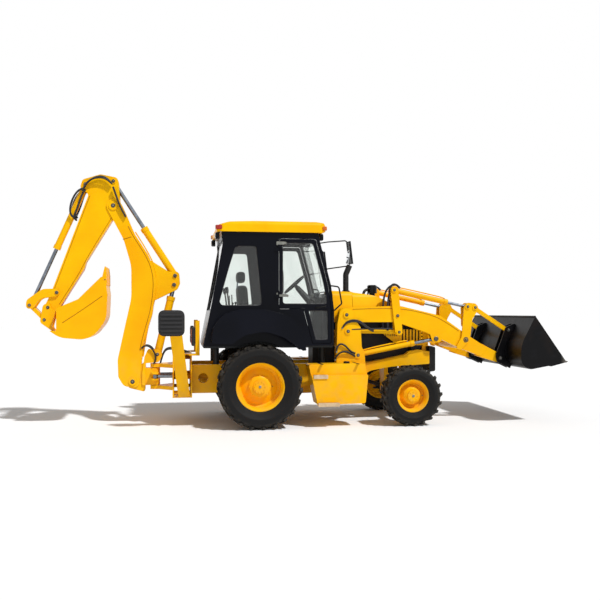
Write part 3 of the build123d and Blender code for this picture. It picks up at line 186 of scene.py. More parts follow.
def pane(line, half, thick):
    """A bent sheet: a line of (x, z) points carried across the machine from -half to half, thick along its normal."""
    line = np.asarray(line, float)
    along = np.gradient(line, axis=0)
    square = np.stack([along[:, 1], -along[:, 0]], 1)
    square /= np.linalg.norm(square, axis=1, keepdims=True)
    section = np.concatenate([line, (line - thick * square)[::-1]])
    y = np.linspace(-half, half, 3)
    grid = np.empty((3, len(section), 3))
    grid[..., 0], grid[..., 2] = section[:, 0], section[:, 1]
    grid[..., 1] = y[:, None]
    return grid


def pillow(low, high, lean=0.0, power=0.32, rings=30, around=56):
    """A rounded block between two corners: each axis is half its size times the signed power of cos and sin.

    lean moves the top back by that share of the height.
    """
    low, high = np.asarray(low, float), np.asarray(high, float)
    v = np.linspace(-np.pi / 2 + 0.02, np.pi / 2 - 0.02, rings)[:, None]
    u = np.linspace(0, 2 * np.pi, around, endpoint=False)[None]
    waves = (np.cos(u), np.sin(u), np.cos(v), np.sin(v))
    cos_u, sin_u, cos_v, sin_v = (np.sign(wave) * np.abs(wave) ** power for wave in waves)
    unit = np.stack([cos_v * cos_u, cos_v * sin_u, sin_v + 0 * u], -1)
    grid = (low + high) / 2 + unit * (high - low) / 2
    grid[..., 0] -= lean * (grid[..., 2] - low[2])
    return grid


# Materials


def linear(code):
    """An sRGB hex colour as linear red, green, blue, alpha."""
    c = np.array([int(code[i:i + 2], 16) for i in (1, 3, 5)]) / 255
    c = np.where(c <= 0.04045, c / 12.92, ((c + 0.055) / 1.055) ** 2.4)
    return (*c.tolist(), 1.0)


def add(tree, kind, out=0, **settings):
    """Adds a node and returns one of its outputs. Each setting is a property, or an input by its name, with _ for
    a space, or by n and its number; it is a value, a hex colour or another node's output, which is linked."""
    made = tree.nodes.new("ShaderNode" + kind)
    for key in sorted(settings, key=lambda name: name not in made.bl_rna.properties):
        value = settings[key]
        if key in made.bl_rna.properties:
            setattr(made, key, value)
            continue
        socket = made.inputs[int(key[1:]) if key[1:].isdigit() else key.replace("_", " ")]
        if isinstance(value, bpy.types.NodeSocket):
            tree.links.new(value, socket)
        else:
            socket.default_value = linear(value) if isinstance(value, str) else value
    return made.outputs[out]


def finish(name, **settings):
    """A new material with constants set on its Principled shader, its tree and a node of object coordinates."""
    material = bpy.data.materials.new(name)
    material.use_nodes = True
    tree = material.node_tree
    shader = tree.nodes["Principled BSDF"]
    for key, value in settings.items():
        shader.inputs[key.replace("_", " ")].default_value = value
    return material, tree, shader, add(tree, "TexCoord", 3)


def wear(tree, shader, **sockets):
    """Links patterns to the shader's inputs."""
    for key, socket in sockets.items():
        tree.links.new(socket, shader.inputs[key.replace("_", " ")])


def machine_enamel(name, colour, deep, dust="#B99A62", dusty=0.35, rough=0.3, chip_and_edge_highlight="#8C5A10", chip_and_highlight_share=0.5,
                   level=0.12, bands=()):
    """Alkyd enamel sprayed on plate steel: glossy with a faint orange peel, eased edges with fine chips, and road
    dust that thickens towards the ground. Where the chip colour is lighter than the paint, as on the dark enamels,
    the chips are also a painted highlight along the edges. bands are (low, high, hex) rows of height, in metres,
    painted otherwise."""
    material, tree, shader, where = finish(name, IOR=1.5, Specular_IOR_Level=level)
    cloud = add(tree, "TexNoise", Vector=where, Scale=1.7, Detail=4.0)
    tone = add(tree, "MapRange", Value=cloud, From_Min=0.35, From_Max=0.68)
    body = add(tree, "Mix", 2, data_type="RGBA", n0=tone, n6=colour, n7=deep)
    height = add(tree, "SeparateXYZ", 2, Vector=where)
    for low, high, code in bands:
        above = add(tree, "Math", operation="GREATER_THAN", n0=height, n1=low)
        below = add(tree, "Math", operation="LESS_THAN", n0=height, n1=high)
        inside = add(tree, "Math", operation="MULTIPLY", n0=above, n1=below)
        body = add(tree, "Mix", 2, data_type="RGBA", n0=inside, n6=body, n7=code)
    # a spray coat rounds each edge by about 3 mm, and chips 10 mm apart follow it; a chip colour lighter than the
    # paint also paints a highlight along the edges
    soft = add(tree, "Bevel", samples=4, Radius=0.003)
    face = add(tree, "NewGeometry", 1)
    same = add(tree, "VectorMath", 1, operation="DOT_PRODUCT", n0=soft, n1=face)
    edge = add(tree, "MapRange", Value=same, From_Min=0.985, From_Max=0.9)
    flecks = add(tree, "TexNoise", Vector=where, Scale=95.0)
    fleck = add(tree, "MapRange", Value=flecks, From_Min=0.56, From_Max=0.62, To_Max=chip_and_highlight_share)
    chipped_and_highlit = add(tree, "Math", operation="MULTIPLY", n0=edge, n1=fleck)
    body = add(tree, "Mix", 2, data_type="RGBA", n0=chipped_and_highlit, n6=body, n7=chip_and_edge_highlight)
    low = add(tree, "MapRange", Value=height, From_Min=1.25, From_Max=0.15, To_Max=dusty)
    drift = add(tree, "TexNoise", Vector=where, Scale=9.0, Detail=6.0)
    patch = add(tree, "MapRange", Value=drift, From_Min=0.38, From_Max=0.72)
    film = add(tree, "Math", operation="MULTIPLY", n0=low, n1=patch)
    body = add(tree, "Mix", 2, data_type="RGBA", n0=film, n6=body, n7=dust)
    dull = add(tree, "MapRange", Value=film, To_Min=rough, To_Max=rough + 0.5)
    # orange peel of 2 mm, drawn at 7 mm so that it shows
    peel = add(tree, "TexNoise", Vector=where, Scale=140.0, Detail=1.0)
    wear(tree, shader, Base_Color=body, Roughness=dull,
         Normal=add(tree, "Bump", Height=peel, Strength=0.06, Distance=0.0012, Normal=soft))
    return material


def worn_black(name):
    """Black enamel on a loading shell: scuffed grey along the load's way, brown earth low down, bare steel at the
    cutting edge."""
    material, tree, shader, where = finish(name, IOR=1.5, Specular_IOR_Level=0.15)
    along = add(tree, "Mapping", Vector=where, Scale=(1.0, 9.0, 2.0))
    rub = add(tree, "TexNoise", Vector=along, Scale=5.0, Detail=8.0, Roughness=0.65)
    scuff = add(tree, "MapRange", Value=rub, From_Min=0.52, From_Max=0.75)
    body = add(tree, "Mix", 2, data_type="RGBA", n0=scuff, n6="#050507", n7="#131317")
    soil = add(tree, "TexNoise", Vector=where, Scale=3.2, Detail=6.0)
    earth = add(tree, "MapRange", Value=soil, From_Min=0.5, From_Max=0.7, To_Max=0.4)
    body = add(tree, "Mix", 2, data_type="RGBA", n0=earth, n6=body, n7="#241913")
    front = add(tree, "MapRange", Value=add(tree, "SeparateXYZ", 0, Vector=where), From_Min=3.88, From_Max=3.97)
    patch = add(tree, "MapRange", Value=rub, From_Min=0.35, From_Max=0.6)
    lip = add(tree, "Math", operation="MULTIPLY", n0=front, n1=patch)
    body = add(tree, "Mix", 2, data_type="RGBA", n0=lip, n6=body, n7="#77726B")
    dull = add(tree, "MapRange", Value=scuff, To_Min=0.34, To_Max=0.6)
    grit = add(tree, "TexNoise", Vector=where, Scale=60.0, Detail=4.0)
    soft = add(tree, "Bevel", samples=4, Radius=0.003)
    wear(tree, shader, Base_Color=body, Metallic=lip, Roughness=dull,
         Normal=add(tree, "Bump", Height=grit, Strength=0.15, Distance=0.0015, Normal=soft))
    return material


def tyre_rubber(name, centre, rim, crown):
    """Carbon-black rubber from a mould: matt, with fine rings on the sidewall and pale dust on the lugs. The
    distance from the axle, in metres, places both."""
    material, tree, shader, where = finish(name, IOR=1.52, Specular_IOR_Level=0.2)
    away = add(tree, "Mapping", Vector=where, Location=tuple(-centre * (1, 0, 1)), Scale=(1, 0, 1))
    radius = add(tree, "VectorMath", 1, operation="LENGTH", n0=away)
    grime = add(tree, "TexNoise", Vector=where, Scale=22.0, Detail=7.0, Roughness=0.6)
    patch = add(tree, "MapRange", Value=grime, From_Min=0.35, From_Max=0.72)
    body = add(tree, "Mix", 2, data_type="RGBA", n0=patch, n6="#0C0C0D", n7="#151413")
    lug = add(tree, "MapRange", Value=radius, From_Min=crown - 0.09, From_Max=crown - 0.01, To_Max=0.7)
    dust = add(tree, "Math", operation="MULTIPLY", n0=lug, n1=patch)
    body = add(tree, "Mix", 2, data_type="RGBA", n0=dust, n6=body, n7="#565048")
    # moulded rings 9 mm apart between the bead and the shoulder
    ring = add(tree, "Math", operation="SINE", n0=add(tree, "Math", operation="MULTIPLY", n0=radius, n1=700.0))
    outer = add(tree, "Math", operation="LESS_THAN", n0=radius, n1=rim + 0.085)
    wall = add(tree, "Math", operation="MULTIPLY", n0=ring, n1=outer)
    grain = add(tree, "TexNoise", Vector=where, Scale=210.0)
    height = add(tree, "Math", operation="ADD", n0=wall, n1=grain)
    soft = add(tree, "Bevel", samples=4, Radius=0.004)
    wear(tree, shader, Base_Color=body, Roughness=add(tree, "MapRange", Value=grime, To_Min=0.45, To_Max=0.9),
         Normal=add(tree, "Bump", Height=height, Strength=0.35, Distance=0.0012, Normal=soft))
    return material


def extruded_rubber(name, colour="#131316", rough=0.6, grain=320.0):
    """Synthetic rubber for hoses, seals and pads: satin black, its fine grain one metre over grain wide."""
    material, tree, shader, where = finish(name, IOR=1.52, Specular_IOR_Level=0.4)
    cloud = add(tree, "TexNoise", Vector=where, Scale=40.0, Detail=5.0)
    wrap = add(tree, "TexNoise", Vector=where, Scale=grain)
    wear(tree, shader, Base_Color=add(tree, "Mix", 2, data_type="RGBA", n0=cloud, n6=colour, n7="#29282A"),
         Roughness=add(tree, "MapRange", Value=cloud, To_Min=rough - 0.15, To_Max=rough + 0.15),
         Normal=add(tree, "Bump", Height=wrap, Strength=0.25, Distance=0.0008))
    return material


def bare_metal(name, colour, dark, rough, grain=45.0):
    """Metal left bare, plated, drawn or machined: smears of oil and fine tool marks."""
    material, tree, shader, where = finish(name, Metallic=1.0)
    smear = add(tree, "TexNoise", Vector=where, Scale=12.0, Detail=6.0)
    marks = add(tree, "TexNoise", Vector=where, Scale=grain, Detail=5.0)
    share = add(tree, "MapRange", Value=smear, From_Min=0.35, From_Max=0.75)
    wear(tree, shader, Base_Color=add(tree, "Mix", 2, data_type="RGBA", n0=share, n6=colour, n7=dark),
         Roughness=add(tree, "MapRange", Value=marks, From_Min=0.3, From_Max=0.75, To_Min=rough * 0.7,
                       To_Max=rough * 1.5),
         Normal=add(tree, "Bump", Height=marks, Strength=0.04, Distance=0.0005))
    return material


def cast_iron(name, colour, deep):
    """Sand-cast grey iron under thin dark paint: a skin of 3 mm grain with oily dust."""
    material, tree, shader, where = finish(name, IOR=1.5, Specular_IOR_Level=0.35)
    cloud = add(tree, "TexNoise", Vector=where, Scale=7.0, Detail=8.0, Roughness=0.6)
    share = add(tree, "MapRange", Value=cloud, From_Min=0.35, From_Max=0.7)
    skin_grain = add(tree, "TexNoise", Vector=where, Scale=300.0, Detail=3.0)
    wear(tree, shader, Base_Color=add(tree, "Mix", 2, data_type="RGBA", n0=share, n6=colour, n7=deep),
         Roughness=add(tree, "MapRange", Value=cloud, To_Min=0.35, To_Max=0.8),
         Normal=add(tree, "Bump", Height=skin_grain, Strength=0.3, Distance=0.0012))
    return material


def moulded_plastic(name, colour, deep):
    """Injection-moulded ABS: a leathery grain of 1.5 mm, drawn at 4 mm so that it shows, and a low satin sheen."""
    material, tree, shader, where = finish(name, IOR=1.46, Specular_IOR_Level=0.4)
    cloud = add(tree, "TexNoise", Vector=where, Scale=6.0, Detail=4.0)
    cells = add(tree, "TexVoronoi", Vector=where, Scale=250.0)
    wear(tree, shader, Base_Color=add(tree, "Mix", 2, data_type="RGBA", n0=cloud, n6=colour, n7=deep),
         Roughness=add(tree, "MapRange", Value=cloud, To_Min=0.4, To_Max=0.65),
         Normal=add(tree, "Bump", Height=cells, Strength=0.25, Distance=0.0008))
    return material


def float_glass(name, tint):
    """Toughened float glass, 5 mm: clear with a faint green cast and a thin film of dust."""
    material, tree, shader, where = finish(name, Transmission_Weight=1.0, IOR=1.45)
    haze = add(tree, "TexNoise", Vector=where, Scale=5.0, Detail=6.0)
    film = add(tree, "MapRange", Value=haze, From_Min=0.45, From_Max=0.85)
    wear(tree, shader, Base_Color=add(tree, "Mix", 2, data_type="RGBA", n0=film, n6=tint, n7="#F6F8F6"),
         Roughness=add(tree, "MapRange", Value=film, To_Max=0.03))
    return material


def lamp_lens(name, colour, light):
    """Acrylic lamp lens, coloured right through, with moulded prisms 6 mm apart that scatter the light."""
    material, tree, shader, where = finish(name, Transmission_Weight=0.3, IOR=1.49, Roughness=0.14)
    cells = add(tree, "TexVoronoi", Vector=where, Scale=160.0)
    wear(tree, shader, Base_Color=add(tree, "Mix", 2, data_type="RGBA", n0=cells, n6=colour, n7=light),
         Normal=add(tree, "Bump", Height=cells, Strength=0.5, Distance=0.002))
    return material


def seat_cloth(name, colour, fleck):
    """Woven polyester seat cloth: a tight 2 mm weave, drawn at 5 mm so that it shows, with a soft sheen."""
    material, tree, shader, where = finish(name, Sheen_Weight=0.35, Sheen_Roughness=0.5, Roughness=0.88, IOR=1.45)
    warp = add(tree, "TexWave", 1, Vector=where, Scale=60.0, Distortion=0.6, bands_direction="Y")
    weft = add(tree, "TexWave", 1, Vector=where, Scale=60.0, Distortion=0.6, bands_direction="Z")
    weave = add(tree, "Math", operation="MAXIMUM", n0=warp, n1=weft)
    tone = add(tree, "Math", operation="MULTIPLY", n0=weave, n1=add(tree, "TexNoise", Vector=where, Scale=30.0))
    wear(tree, shader, Base_Color=add(tree, "Mix", 2, data_type="RGBA", n0=tone, n6=colour, n7=fleck),
         Normal=add(tree, "Bump", Height=weave, Strength=0.35, Distance=0.001))
    return material


YELLOW, AMBER = "#FFC200", "#FCB000"
yellow = machine_enamel("sprayed_yellow_enamel", YELLOW, AMBER)
hood_yellow = machine_enamel("sprayed_yellow_enamel_hood", YELLOW, AMBER, dusty=0.1)
roof_yellow = machine_enamel("gelcoat_yellow_roof", YELLOW, AMBER, dusty=0.0, chip_and_highlight_share=0.1,
                             bands=[(2.0, 2.8395, "#101114")])
panel_yellow = machine_enamel("sprayed_yellow_enamel_panel", YELLOW, AMBER, bands=[(1.405, 1.5155, "#0E0F12")])
# the weld beads' darker amber is a shaded copy of the yellow: painted shade along the seams
shaded_seam_yellow = machine_enamel("sprayed_yellow_enamel_seam_painted_shade", "#B97A08", "#A56C06", dusty=0.0, chip_and_highlight_share=0.0)
hub_yellow = machine_enamel("sprayed_yellow_enamel_hub", YELLOW, AMBER, dusty=0.2, chip_and_highlight_share=0.0)
pipe_yellow = machine_enamel("sprayed_yellow_enamel_pipe", YELLOW, AMBER, dusty=0.1, chip_and_highlight_share=0.0)
# the charcoal and black enamels' lighter chip colours are partly worn edges, partly a painted highlight along the
# edges
cab_charcoal = machine_enamel("sprayed_charcoal_enamel", "#070911", "#0C0E18", dusty=0.06, rough=0.2,
                              chip_and_edge_highlight="#39414F", dust="#3A362F", level=0.1)
black_enamel = machine_enamel("sprayed_black_enamel", "#0A0B0E", "#060708", chip_and_edge_highlight="#2C2C2E", dust="#6A6152",
                              level=0.2)
bucket_black = worn_black("worn_black_enamel")
iron = cast_iron("painted_grey_iron", "#171719", "#2B2724")
plastic = moulded_plastic("moulded_cab_plastic", "#0E1214", "#1A2022")
chrome = bare_metal("hard_chrome", "#868D96", "#5F666F", 0.22)
steel = bare_metal("machined_pin_steel", "#5F5C58", "#3A3632", 0.4)
zinc = bare_metal("zinc_plated_steel", "#8F908A", "#6A6A64", 0.35)
tread = bare_metal("checker_plate_aluminium", "#D8C2A2", "#B59C7C", 0.45)
rubber = extruded_rubber("extruded_hose_rubber")
pad_rubber = extruded_rubber("street_pad_rubber", "#0C0C0E", 0.7, 120.0)
seal = extruded_rubber("window_seal_rubber", "#0B0B0D", 0.5)
glass = float_glass("toughened_float_glass", "#F1F6F3")
mirror_glass = bare_metal("silvered_mirror_glass", "#E8ECEE", "#DDE2E5", 0.03, 4.0)
clear_lens = lamp_lens("clear_lamp_lens", "#E9EEF0", "#FFFFFF")
red_lens = lamp_lens("red_lamp_lens", "#A31208", "#D0331C")
amber_lens = lamp_lens("amber_lamp_lens", "#D9560A", "#F58A20")
cloth = seat_cloth("woven_seat_cloth", "#0F1416", "#2A3634")
pipe_black = cast_iron("heat_black_pipe", "#0C0C0E", "#181615")

FINISHES = {
    yellow: "chassis_frame rear_frame side_tanks loader_arms levelling_levers levelling_links bell_cranks tilt_links "
            "lift_barrels tilt_barrels swing_post swing_barrels boom boom_barrel dipper crowd_barrel curl_barrel "
            "tipping_lever bucket_link backhoe_bucket stabilizer_leg_left stabilizer_leg_right "
            "stabilizer_barrel_left stabilizer_barrel_right rear_rim_left rear_rim_right front_rim_left "
            "front_rim_right",
    hood_yellow: "hood",
    panel_yellow: "engine_cowl",
    roof_yellow: "cab_roof",
    cab_charcoal: "cab_frame door_left door_right",
    black_enamel: "nose_bumper mirrors_and_rails air_precleaner",
    bucket_black: "loader_bucket",
    iron: "drivetrain steering_knuckle_left steering_knuckle_right",
    plastic: "cab_base",
    pipe_black: "exhaust_stack",
    chrome: "lift_rods tilt_rods boom_rod crowd_rod curl_rod swing_rod_left swing_rod_right stabilizer_rod_left "
            "stabilizer_rod_right",
    steel: "crank_bushes link_bushes bucket_hinge_pins",
    cloth: "seat",
}
for coat, names in FINISHES.items():
    for name in names.split():
        materials = nodes[name].data.materials
        materials.clear()
        materials.append(coat)
# each tyre's middle in millimetres, its rim's and its crown's radius in metres
TYRES = (
    ("rear_tyre_left", (0, 860, 605), 0.335, 0.605), ("rear_tyre_right", (0, -860, 605), 0.335, 0.605),
    ("front_tyre_left", (2249, 916, 443), 0.228, 0.443), ("front_tyre_right", (2249, -916, 443), 0.228, 0.443),
)
for name, middle, rim, crown in TYRES:
    materials = nodes[name].data.materials
    materials.clear()
    materials.append(tyre_rubber("moulded_rubber_" + name, placed(middle), rim, crown))


# Cab glass, seals and lamps

SCREEN = flow([(1090, 0, 1980), (1062, 0, 2090), (985, 0, 2400), (892, 0, 2750), (872, 0, 2830)], 8)[:, ::2]
REAR_SCREEN = flow([(-672, 0, 1705), (-640, 0, 1850), (-560, 0, 2250), (-505, 0, 2640), (-506, 0, 2742)], 8)[:, ::2]
GLASS_HALF = 703
SEAL_R = 9
glazing = [
    skin("windscreen", "chassis", glass, pane(SCREEN, GLASS_HALF, 6)),
    skin("rear_window", "chassis", glass, pane(REAR_SCREEN, GLASS_HALF, -6)),
]
QUARTER = rounded([(-335, 2640, 80), (-30, 2640, 60), (60, 1765, 80), (-590, 1765, 80), (-430, 2350, 300)], 8)
DOOR_HIGH = rounded([(352, 1790, 50), (352, 2696, 50), (812, 2696, 50), (984, 2066, 450), (1030, 1790, 50)], 8)
DOOR_LOW = rounded([(734, 1700, 30), (1034, 1700, 30), (1034, 1262, 30), (846, 1262, 30)], 6)


def seal_line(outline, y):
    """The window's edge as a closed line in the glass plane, from its (x, z) outline."""
    return np.stack([outline[:, 0], np.full(len(outline), float(y)), outline[:, 1]], 1)


for side, s in SIDES:
    door = f"door_{side}_body"
    for name, body, outline, y in (
        ("quarter_window", "chassis", QUARTER, 728),
        ("door_window", door, DOOR_HIGH, 727),
        ("door_low_window", door, DOOR_LOW, 727),
    ):
        sheet = prism(drawn_in(outline, -4), y - 2.5, y + 2.5, "y", 1.0)
        glazing.append(skin(f"{name}_{side}", body, glass, on_side(sheet, s)))
        line = seal_line(drawn_in(outline, 2), s * y)
        closed = sweep(np.concatenate([line[-1:], line, line[:1]]), SEAL_R, 8)[1:-1]
        skin(f"{name}_seal_{side}", body, seal, closed, ring=True)
for piece in glazing:
    piece.visible_shadow = False
    piece.visible_diffuse = False

for name, screen in (("screen_seals", SCREEN), ("rear_screen_seals", REAR_SCREEN)):
    skin(name, "chassis", seal, pair(sweep(np.insert(screen, 1, 698, 1), SEAL_R, 8)))
SCREEN_ENDS = ((1086, 1985), (888, 2748), (-668, 1708), (-509, 2738))
skin("screen_cross_seals", "chassis", seal, [
    sweep([(x, -700, z), (x, 0, z), (x, 700, z)], SEAL_R, 8) for x, z in SCREEN_ENDS
])

# work lamps: bezel and ribbed lens on the front and rear of each housing
LAMP = rounded([(-58, -36, 16), (58, -36, 16), (58, 36, 16), (-58, 36, 16)])
for name, x, y, z, way in (("front_work_lamp", 980, 560, 2791, 1), ("rear_work_lamp", -612, 610, 2788, -1)):
    bezel = prism(LAMP * 1.14 + (y, z), x - way * 6, x + way * 5, "x", 2)
    lens = prism(LAMP + (y, z), x + way * 2, x + way * 11, "x", 3)
    skin(name + "_bezels", "chassis", seal, pair(bezel))
    skin(name + "_lenses", "chassis", clear_lens, pair(lens))
# corner lamps of the roof
skin("tail_lamps", "chassis", red_lens, pair(bar((-626, -528), (700, 796), (2868, 2930), 8, 26)))
skin("turn_lamps", "chassis", amber_lens, pair(bar((944, 1012), (700, 794), (2876, 2932), 8, 26)))

# mirror glasses lean with their heads
MIRROR = rounded([(-82, -152, 20), (82, -152, 20), (82, 152, 20), (-82, 152, 20)]) + (950, 2535)
head = prism(MIRROR, 1290, 1296, "x", 1.5)
head[..., 0] += 0.123 * (head[..., 2] - 2535)
skin("mirror_glasses", "chassis", mirror_glass, pair(head))

# wipers with their arms
skin("front_wiper", "chassis", seal, [
    sweep(flow([(1076, 0, 2075), (1060, -40, 2160), (1010, -150, 2340), (960, -250, 2530)]), 7, 8)
])
skin("wiper_blade", "chassis", seal, [sweep([(1043, -380, 2230), (1001, -230, 2395), (948, -90, 2590)], 9, 8)])
skin("rear_wiper", "chassis", seal, [
    sweep(flow([(-700, 0, 1725), (-660, 60, 1880), (-600, 200, 2150)]), 7, 8)
])

# inside mirror and roof lining
skin("inside_mirror", "chassis", plastic, bar((990, 1008), (-690, -560), (2290, 2370), 4, 8))
skin("inside_mirror_stem", "chassis", seal, [sweep([(1003, -660, 2340), (985, -690, 2420), (975, -700, 2440)], 7, 8)])
skin("roof_lining", "chassis", plastic, bar((-500, 840), (-700, 700), (2800, 2836), 10, 60))

# Driver's place

PUFF = 0.009
GROOVE_DEEP, GROOVE_HALF = 0.009, 0.007


def swelled(piece, room):
    """Stuffs a pad: its mesh is remeshed at 9 mm, blown up by a cloth run with inner pressure and no weight, and
    each point is held within room metres of where it began."""
    shrink = piece.modifiers.new("remesh", "REMESH")
    shrink.mode = "VOXEL"
    shrink.voxel_size = 0.009
    piece.data = bpy.data.meshes.new_from_object(piece.evaluated_get(bpy.context.evaluated_depsgraph_get()))
    piece.modifiers.clear()
    count = len(piece.data.vertices)
    rest = np.empty(count * 3)
    piece.data.vertices.foreach_get("co", rest)
    puff = piece.modifiers.new("puff", "CLOTH")
    puff.settings.use_pressure = True
    puff.settings.uniform_pressure_force = 4
    puff.settings.effector_weights.gravity = 0
    for step in range(1, 21):
        scene.frame_set(step)
    blown = np.empty(count * 3)
    piece.evaluated_get(bpy.context.evaluated_depsgraph_get()).data.vertices.foreach_get("co", blown)
    piece.modifiers.clear()
    scene.frame_set(1)
    move = (blown - rest).reshape(-1, 3)
    size = np.linalg.norm(move, axis=1, keepdims=True)
    rest = rest + (move * np.minimum(1, room / (size + 1e-9))).ravel()
    return rest.reshape(-1, 3)


def upholstered(name, low, high, lean, channels, across):
    """A stuffed pad with sewn channels: each is a groove 9 mm deep and 14 mm wide, e to the minus square of the
    distance from its line, worked in after the stuffing."""
    piece = skin(name, "chassis", cloth, pillow(low, high, lean))
    points = swelled(piece, PUFF)
    centre = points.mean(0)
    for line in channels:
        away = points[:, across] - (centre[across] + line / 1000)
        points -= GROOVE_DEEP * np.exp(-(away / GROOVE_HALF) ** 2)[:, None] * np.sign(points - centre) * (
            np.abs(points - centre) > 0.6 * np.abs(points - centre).max(0))
    piece.data.vertices.foreach_set("co", points.ravel())
    piece.data.polygons.foreach_set("use_smooth", np.ones(len(piece.data.polygons), bool))
    piece.data.materials.clear()
    piece.data.materials.append(cloth)
    piece.data.update()
    smooth = piece.modifiers.new("smooth", "SUBSURF")
    smooth.levels = smooth.render_levels = 1
    return piece


squab = upholstered("seat_squab", (-212, -232, 1490), (222, 232, 1592), 0.0, (-110, 110), 1)
upholstered("seat_back", (-226, -222, 1596), (-82, 222, 2090), 0.07, (-100, 100), 1)
upholstered("seat_headrest", (-262, -132, 2126), (-140, 132, 2290), 0.0, (), 1)
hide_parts("seat")
skin("headrest_posts", "chassis", chrome, pair(sweep([(-255, 60, 2040), (-245, 60, 2160)], 7, 10)))
skin("seat_shell", "chassis", plastic, pair(bar((-225, 210), (195, 236), (1484, 1500), 4, 14)))
for side, s in SIDES:
    arm = pillow((-190, s * 262 - 32, 1742), (120, s * 262 + 32, 1790), 0.0, 0.4, 16, 32)
    skin(f"armrest_{side}", "chassis", plastic, arm)
skin("armrest_brackets", "chassis", steel, pair(bar((-210, -180), (232, 262), (1600, 1760), 3, 6)))

# digger levers on the rear console: four tall ones with grips, which splay, and four short ones
LEVER_Y = (-330, -230, 230, 330)
SPLAY = 1.04
skin("digger_levers", "chassis", steel, [
    sweep(flow([(-400, y, 1760), (-410, y, 1880), (-430, y * SPLAY, 2005)]), 9, 10) for y in LEVER_Y
])
skin("digger_lever_grips", "chassis", plastic, np.array([
    sweep([(-424, y * SPLAY, 1960), (-430, y * SPLAY, 2005), (-436, y * SPLAY, 2050)], [17, 24, 20], 16)
    for y in LEVER_Y
]))
skin("stabilizer_levers", "chassis", steel, [
    sweep([(-350, y, 1760), (-356, y, 1935)], 7, 8) for y in (-290, -270, 270, 290)
])

# gauges on the console: a binnacle with three dials
DIALS = [(928, y, 1928) for y in (-95, 0, 95)]
skin("gauge_binnacle", "chassis", plastic, bar((930, 1010), (-170, 170), (1890, 1965), 12, 24))
skin("gauge_bezels", "chassis", zinc, turned([(30, -4), (30, 3), (26, 4), (25, 1)], DIALS, "x", 24, sign=-1))
skin("column_cowl", "chassis", plastic, [
    sweep([(985, 0, 1735), (830, 0, 1905), (690, 0, 2058)], [62, 52, 40], 20)
])
skin("floor_mat", "chassis", rubber, bar((160, 740), (-560, 560), (1181, 1188), 2, 40))
PEDAL_Y = (-190, 190, 280)
skin("pedals", "chassis", rubber, [bar((690, 700), (y - 32, y + 32), (1290, 1370), 3, 8) for y in PEDAL_Y])
skin("pedal_stalks", "chassis", steel, [
    sweep([(696, y, 1330), (760, y, 1260), (790, y, 1182)], 8, 8) for y in PEDAL_Y
])

# door furniture: handle, two hinge arms that taper to the front, and the pull inside
HINGE_ARMS = ((262, 2648, 412, 2668), (262, 1900, 440, 1896))
for side, s in SIDES:
    door = f"door_{side}_body"
    grip = sweep(flow([
        (850, s * 752, 1738), (862, s * 782, 1738), (960, s * 784, 1752), (998, s * 770, 1760), (1004, s * 752, 1760)
    ]), 12, 10)
    skin(f"door_handle_{side}", door, black_enamel, [grip])
    arms = [
        prism(rounded([(x0, z0, 18), (x0, z0 + 62, 18), (x1, z1 + 34, 17), (x1, z1, 17)]), 749, 761, "y", 3)
        for x0, z0, x1, z1 in HINGE_ARMS
    ]
    skin(f"door_hinge_arms_{side}", door, zinc, on_side(np.array(arms), s))
    rail = sweep(flow([
        (345, s * 702, 1900), (372, s * 668, 1910), (372, s * 668, 2300), (345, s * 702, 2310)
    ]), 11, 10)
    skin(f"door_pull_{side}", door, rubber, [rail])

# steps: ribbed plates on both side tanks
for name, x, y, z in (("upper", (772, 983), (928, 997), 758), ("lower", (832, 1146), (988, 1043), 359)):
    ribs = [
        bar((a, a + 6), (y[0] + 4, y[1] - 4), (z + 3, z + 8), 1.5, 2)
        for a in np.arange(x[0] + 8, x[1] - 12, 15)
    ]
    skin(f"{name}_step_plates", "chassis", tread, pair(bar(x, y, (z, z + 4), 1.2, 6)))
    skin(f"{name}_step_edges", "chassis", tread, pair(bar(x, (y[1] + 1, y[1] + 5), (z - 48, z + 6), 1.2, 1.5)))
    skin(f"{name}_step_ribs", "chassis", tread, pair(np.array(ribs)))
cap = turned([(46, 0), (46, 22), (40, 30), (14, 32)], [(1300, 800, 917)], "z", 32)
skin("tank_caps", "chassis", black_enamel, pair(cap))
straps = [prism([(x, 640), (x + 40, 640), (x + 40, 990), (x, 990)], 916, 921, "z", 1) for x in (880, 1420)]
skin("tank_straps", "chassis", black_enamel, pair(np.array(straps)))

# tail lamps on their posts
skin("post_lamp_boxes", "chassis", seal, pair(bar((-962, -908), (520, 600), (1180, 1455), 8, 18)))
skin("post_lamp_lenses", "chassis", red_lens, pair(bar((-968, -958), (530, 590), (1200, 1300), 3, 6)))
skin("post_turn_lenses", "chassis", amber_lens, pair(bar((-968, -958), (530, 590), (1310, 1430), 3, 6)))

# street pads: a cleated rubber face on each stabilizer's shoe
PAD = (-1246, 1520)


def square_pad(half, radius, low, high, edge):
    """A rounded square slab about the shoe's middle, 2 half wide."""
    corners = [(-half, -half, radius), (half, -half, radius), (half, half, radius), (-half, half, radius)]
    return prism(rounded(corners, 8) + PAD, low, high, "y", edge)


for side, s in SIDES:
    cleats = [
        prism(rounded([(-150, z, 8), (150, z, 8), (150, z + 26, 8), (-150, z + 26, 8)], 3) + PAD, 1120, 1136, "y", 4)
        for z in (-124, -68, -12, 44, 100)
    ]
    for name, grid in (
        ("street_pad", square_pad(170, 86, 1099, 1122, 6)),
        ("street_pad_rim", square_pad(181, 92, 1052, 1101, 4)),
        ("street_pad_cleats", np.array(cleats)),
    ):
        skin(f"{name}_{side}", f"stabilizer_leg_{side}_body", pad_rubber, on_side(grid, s))

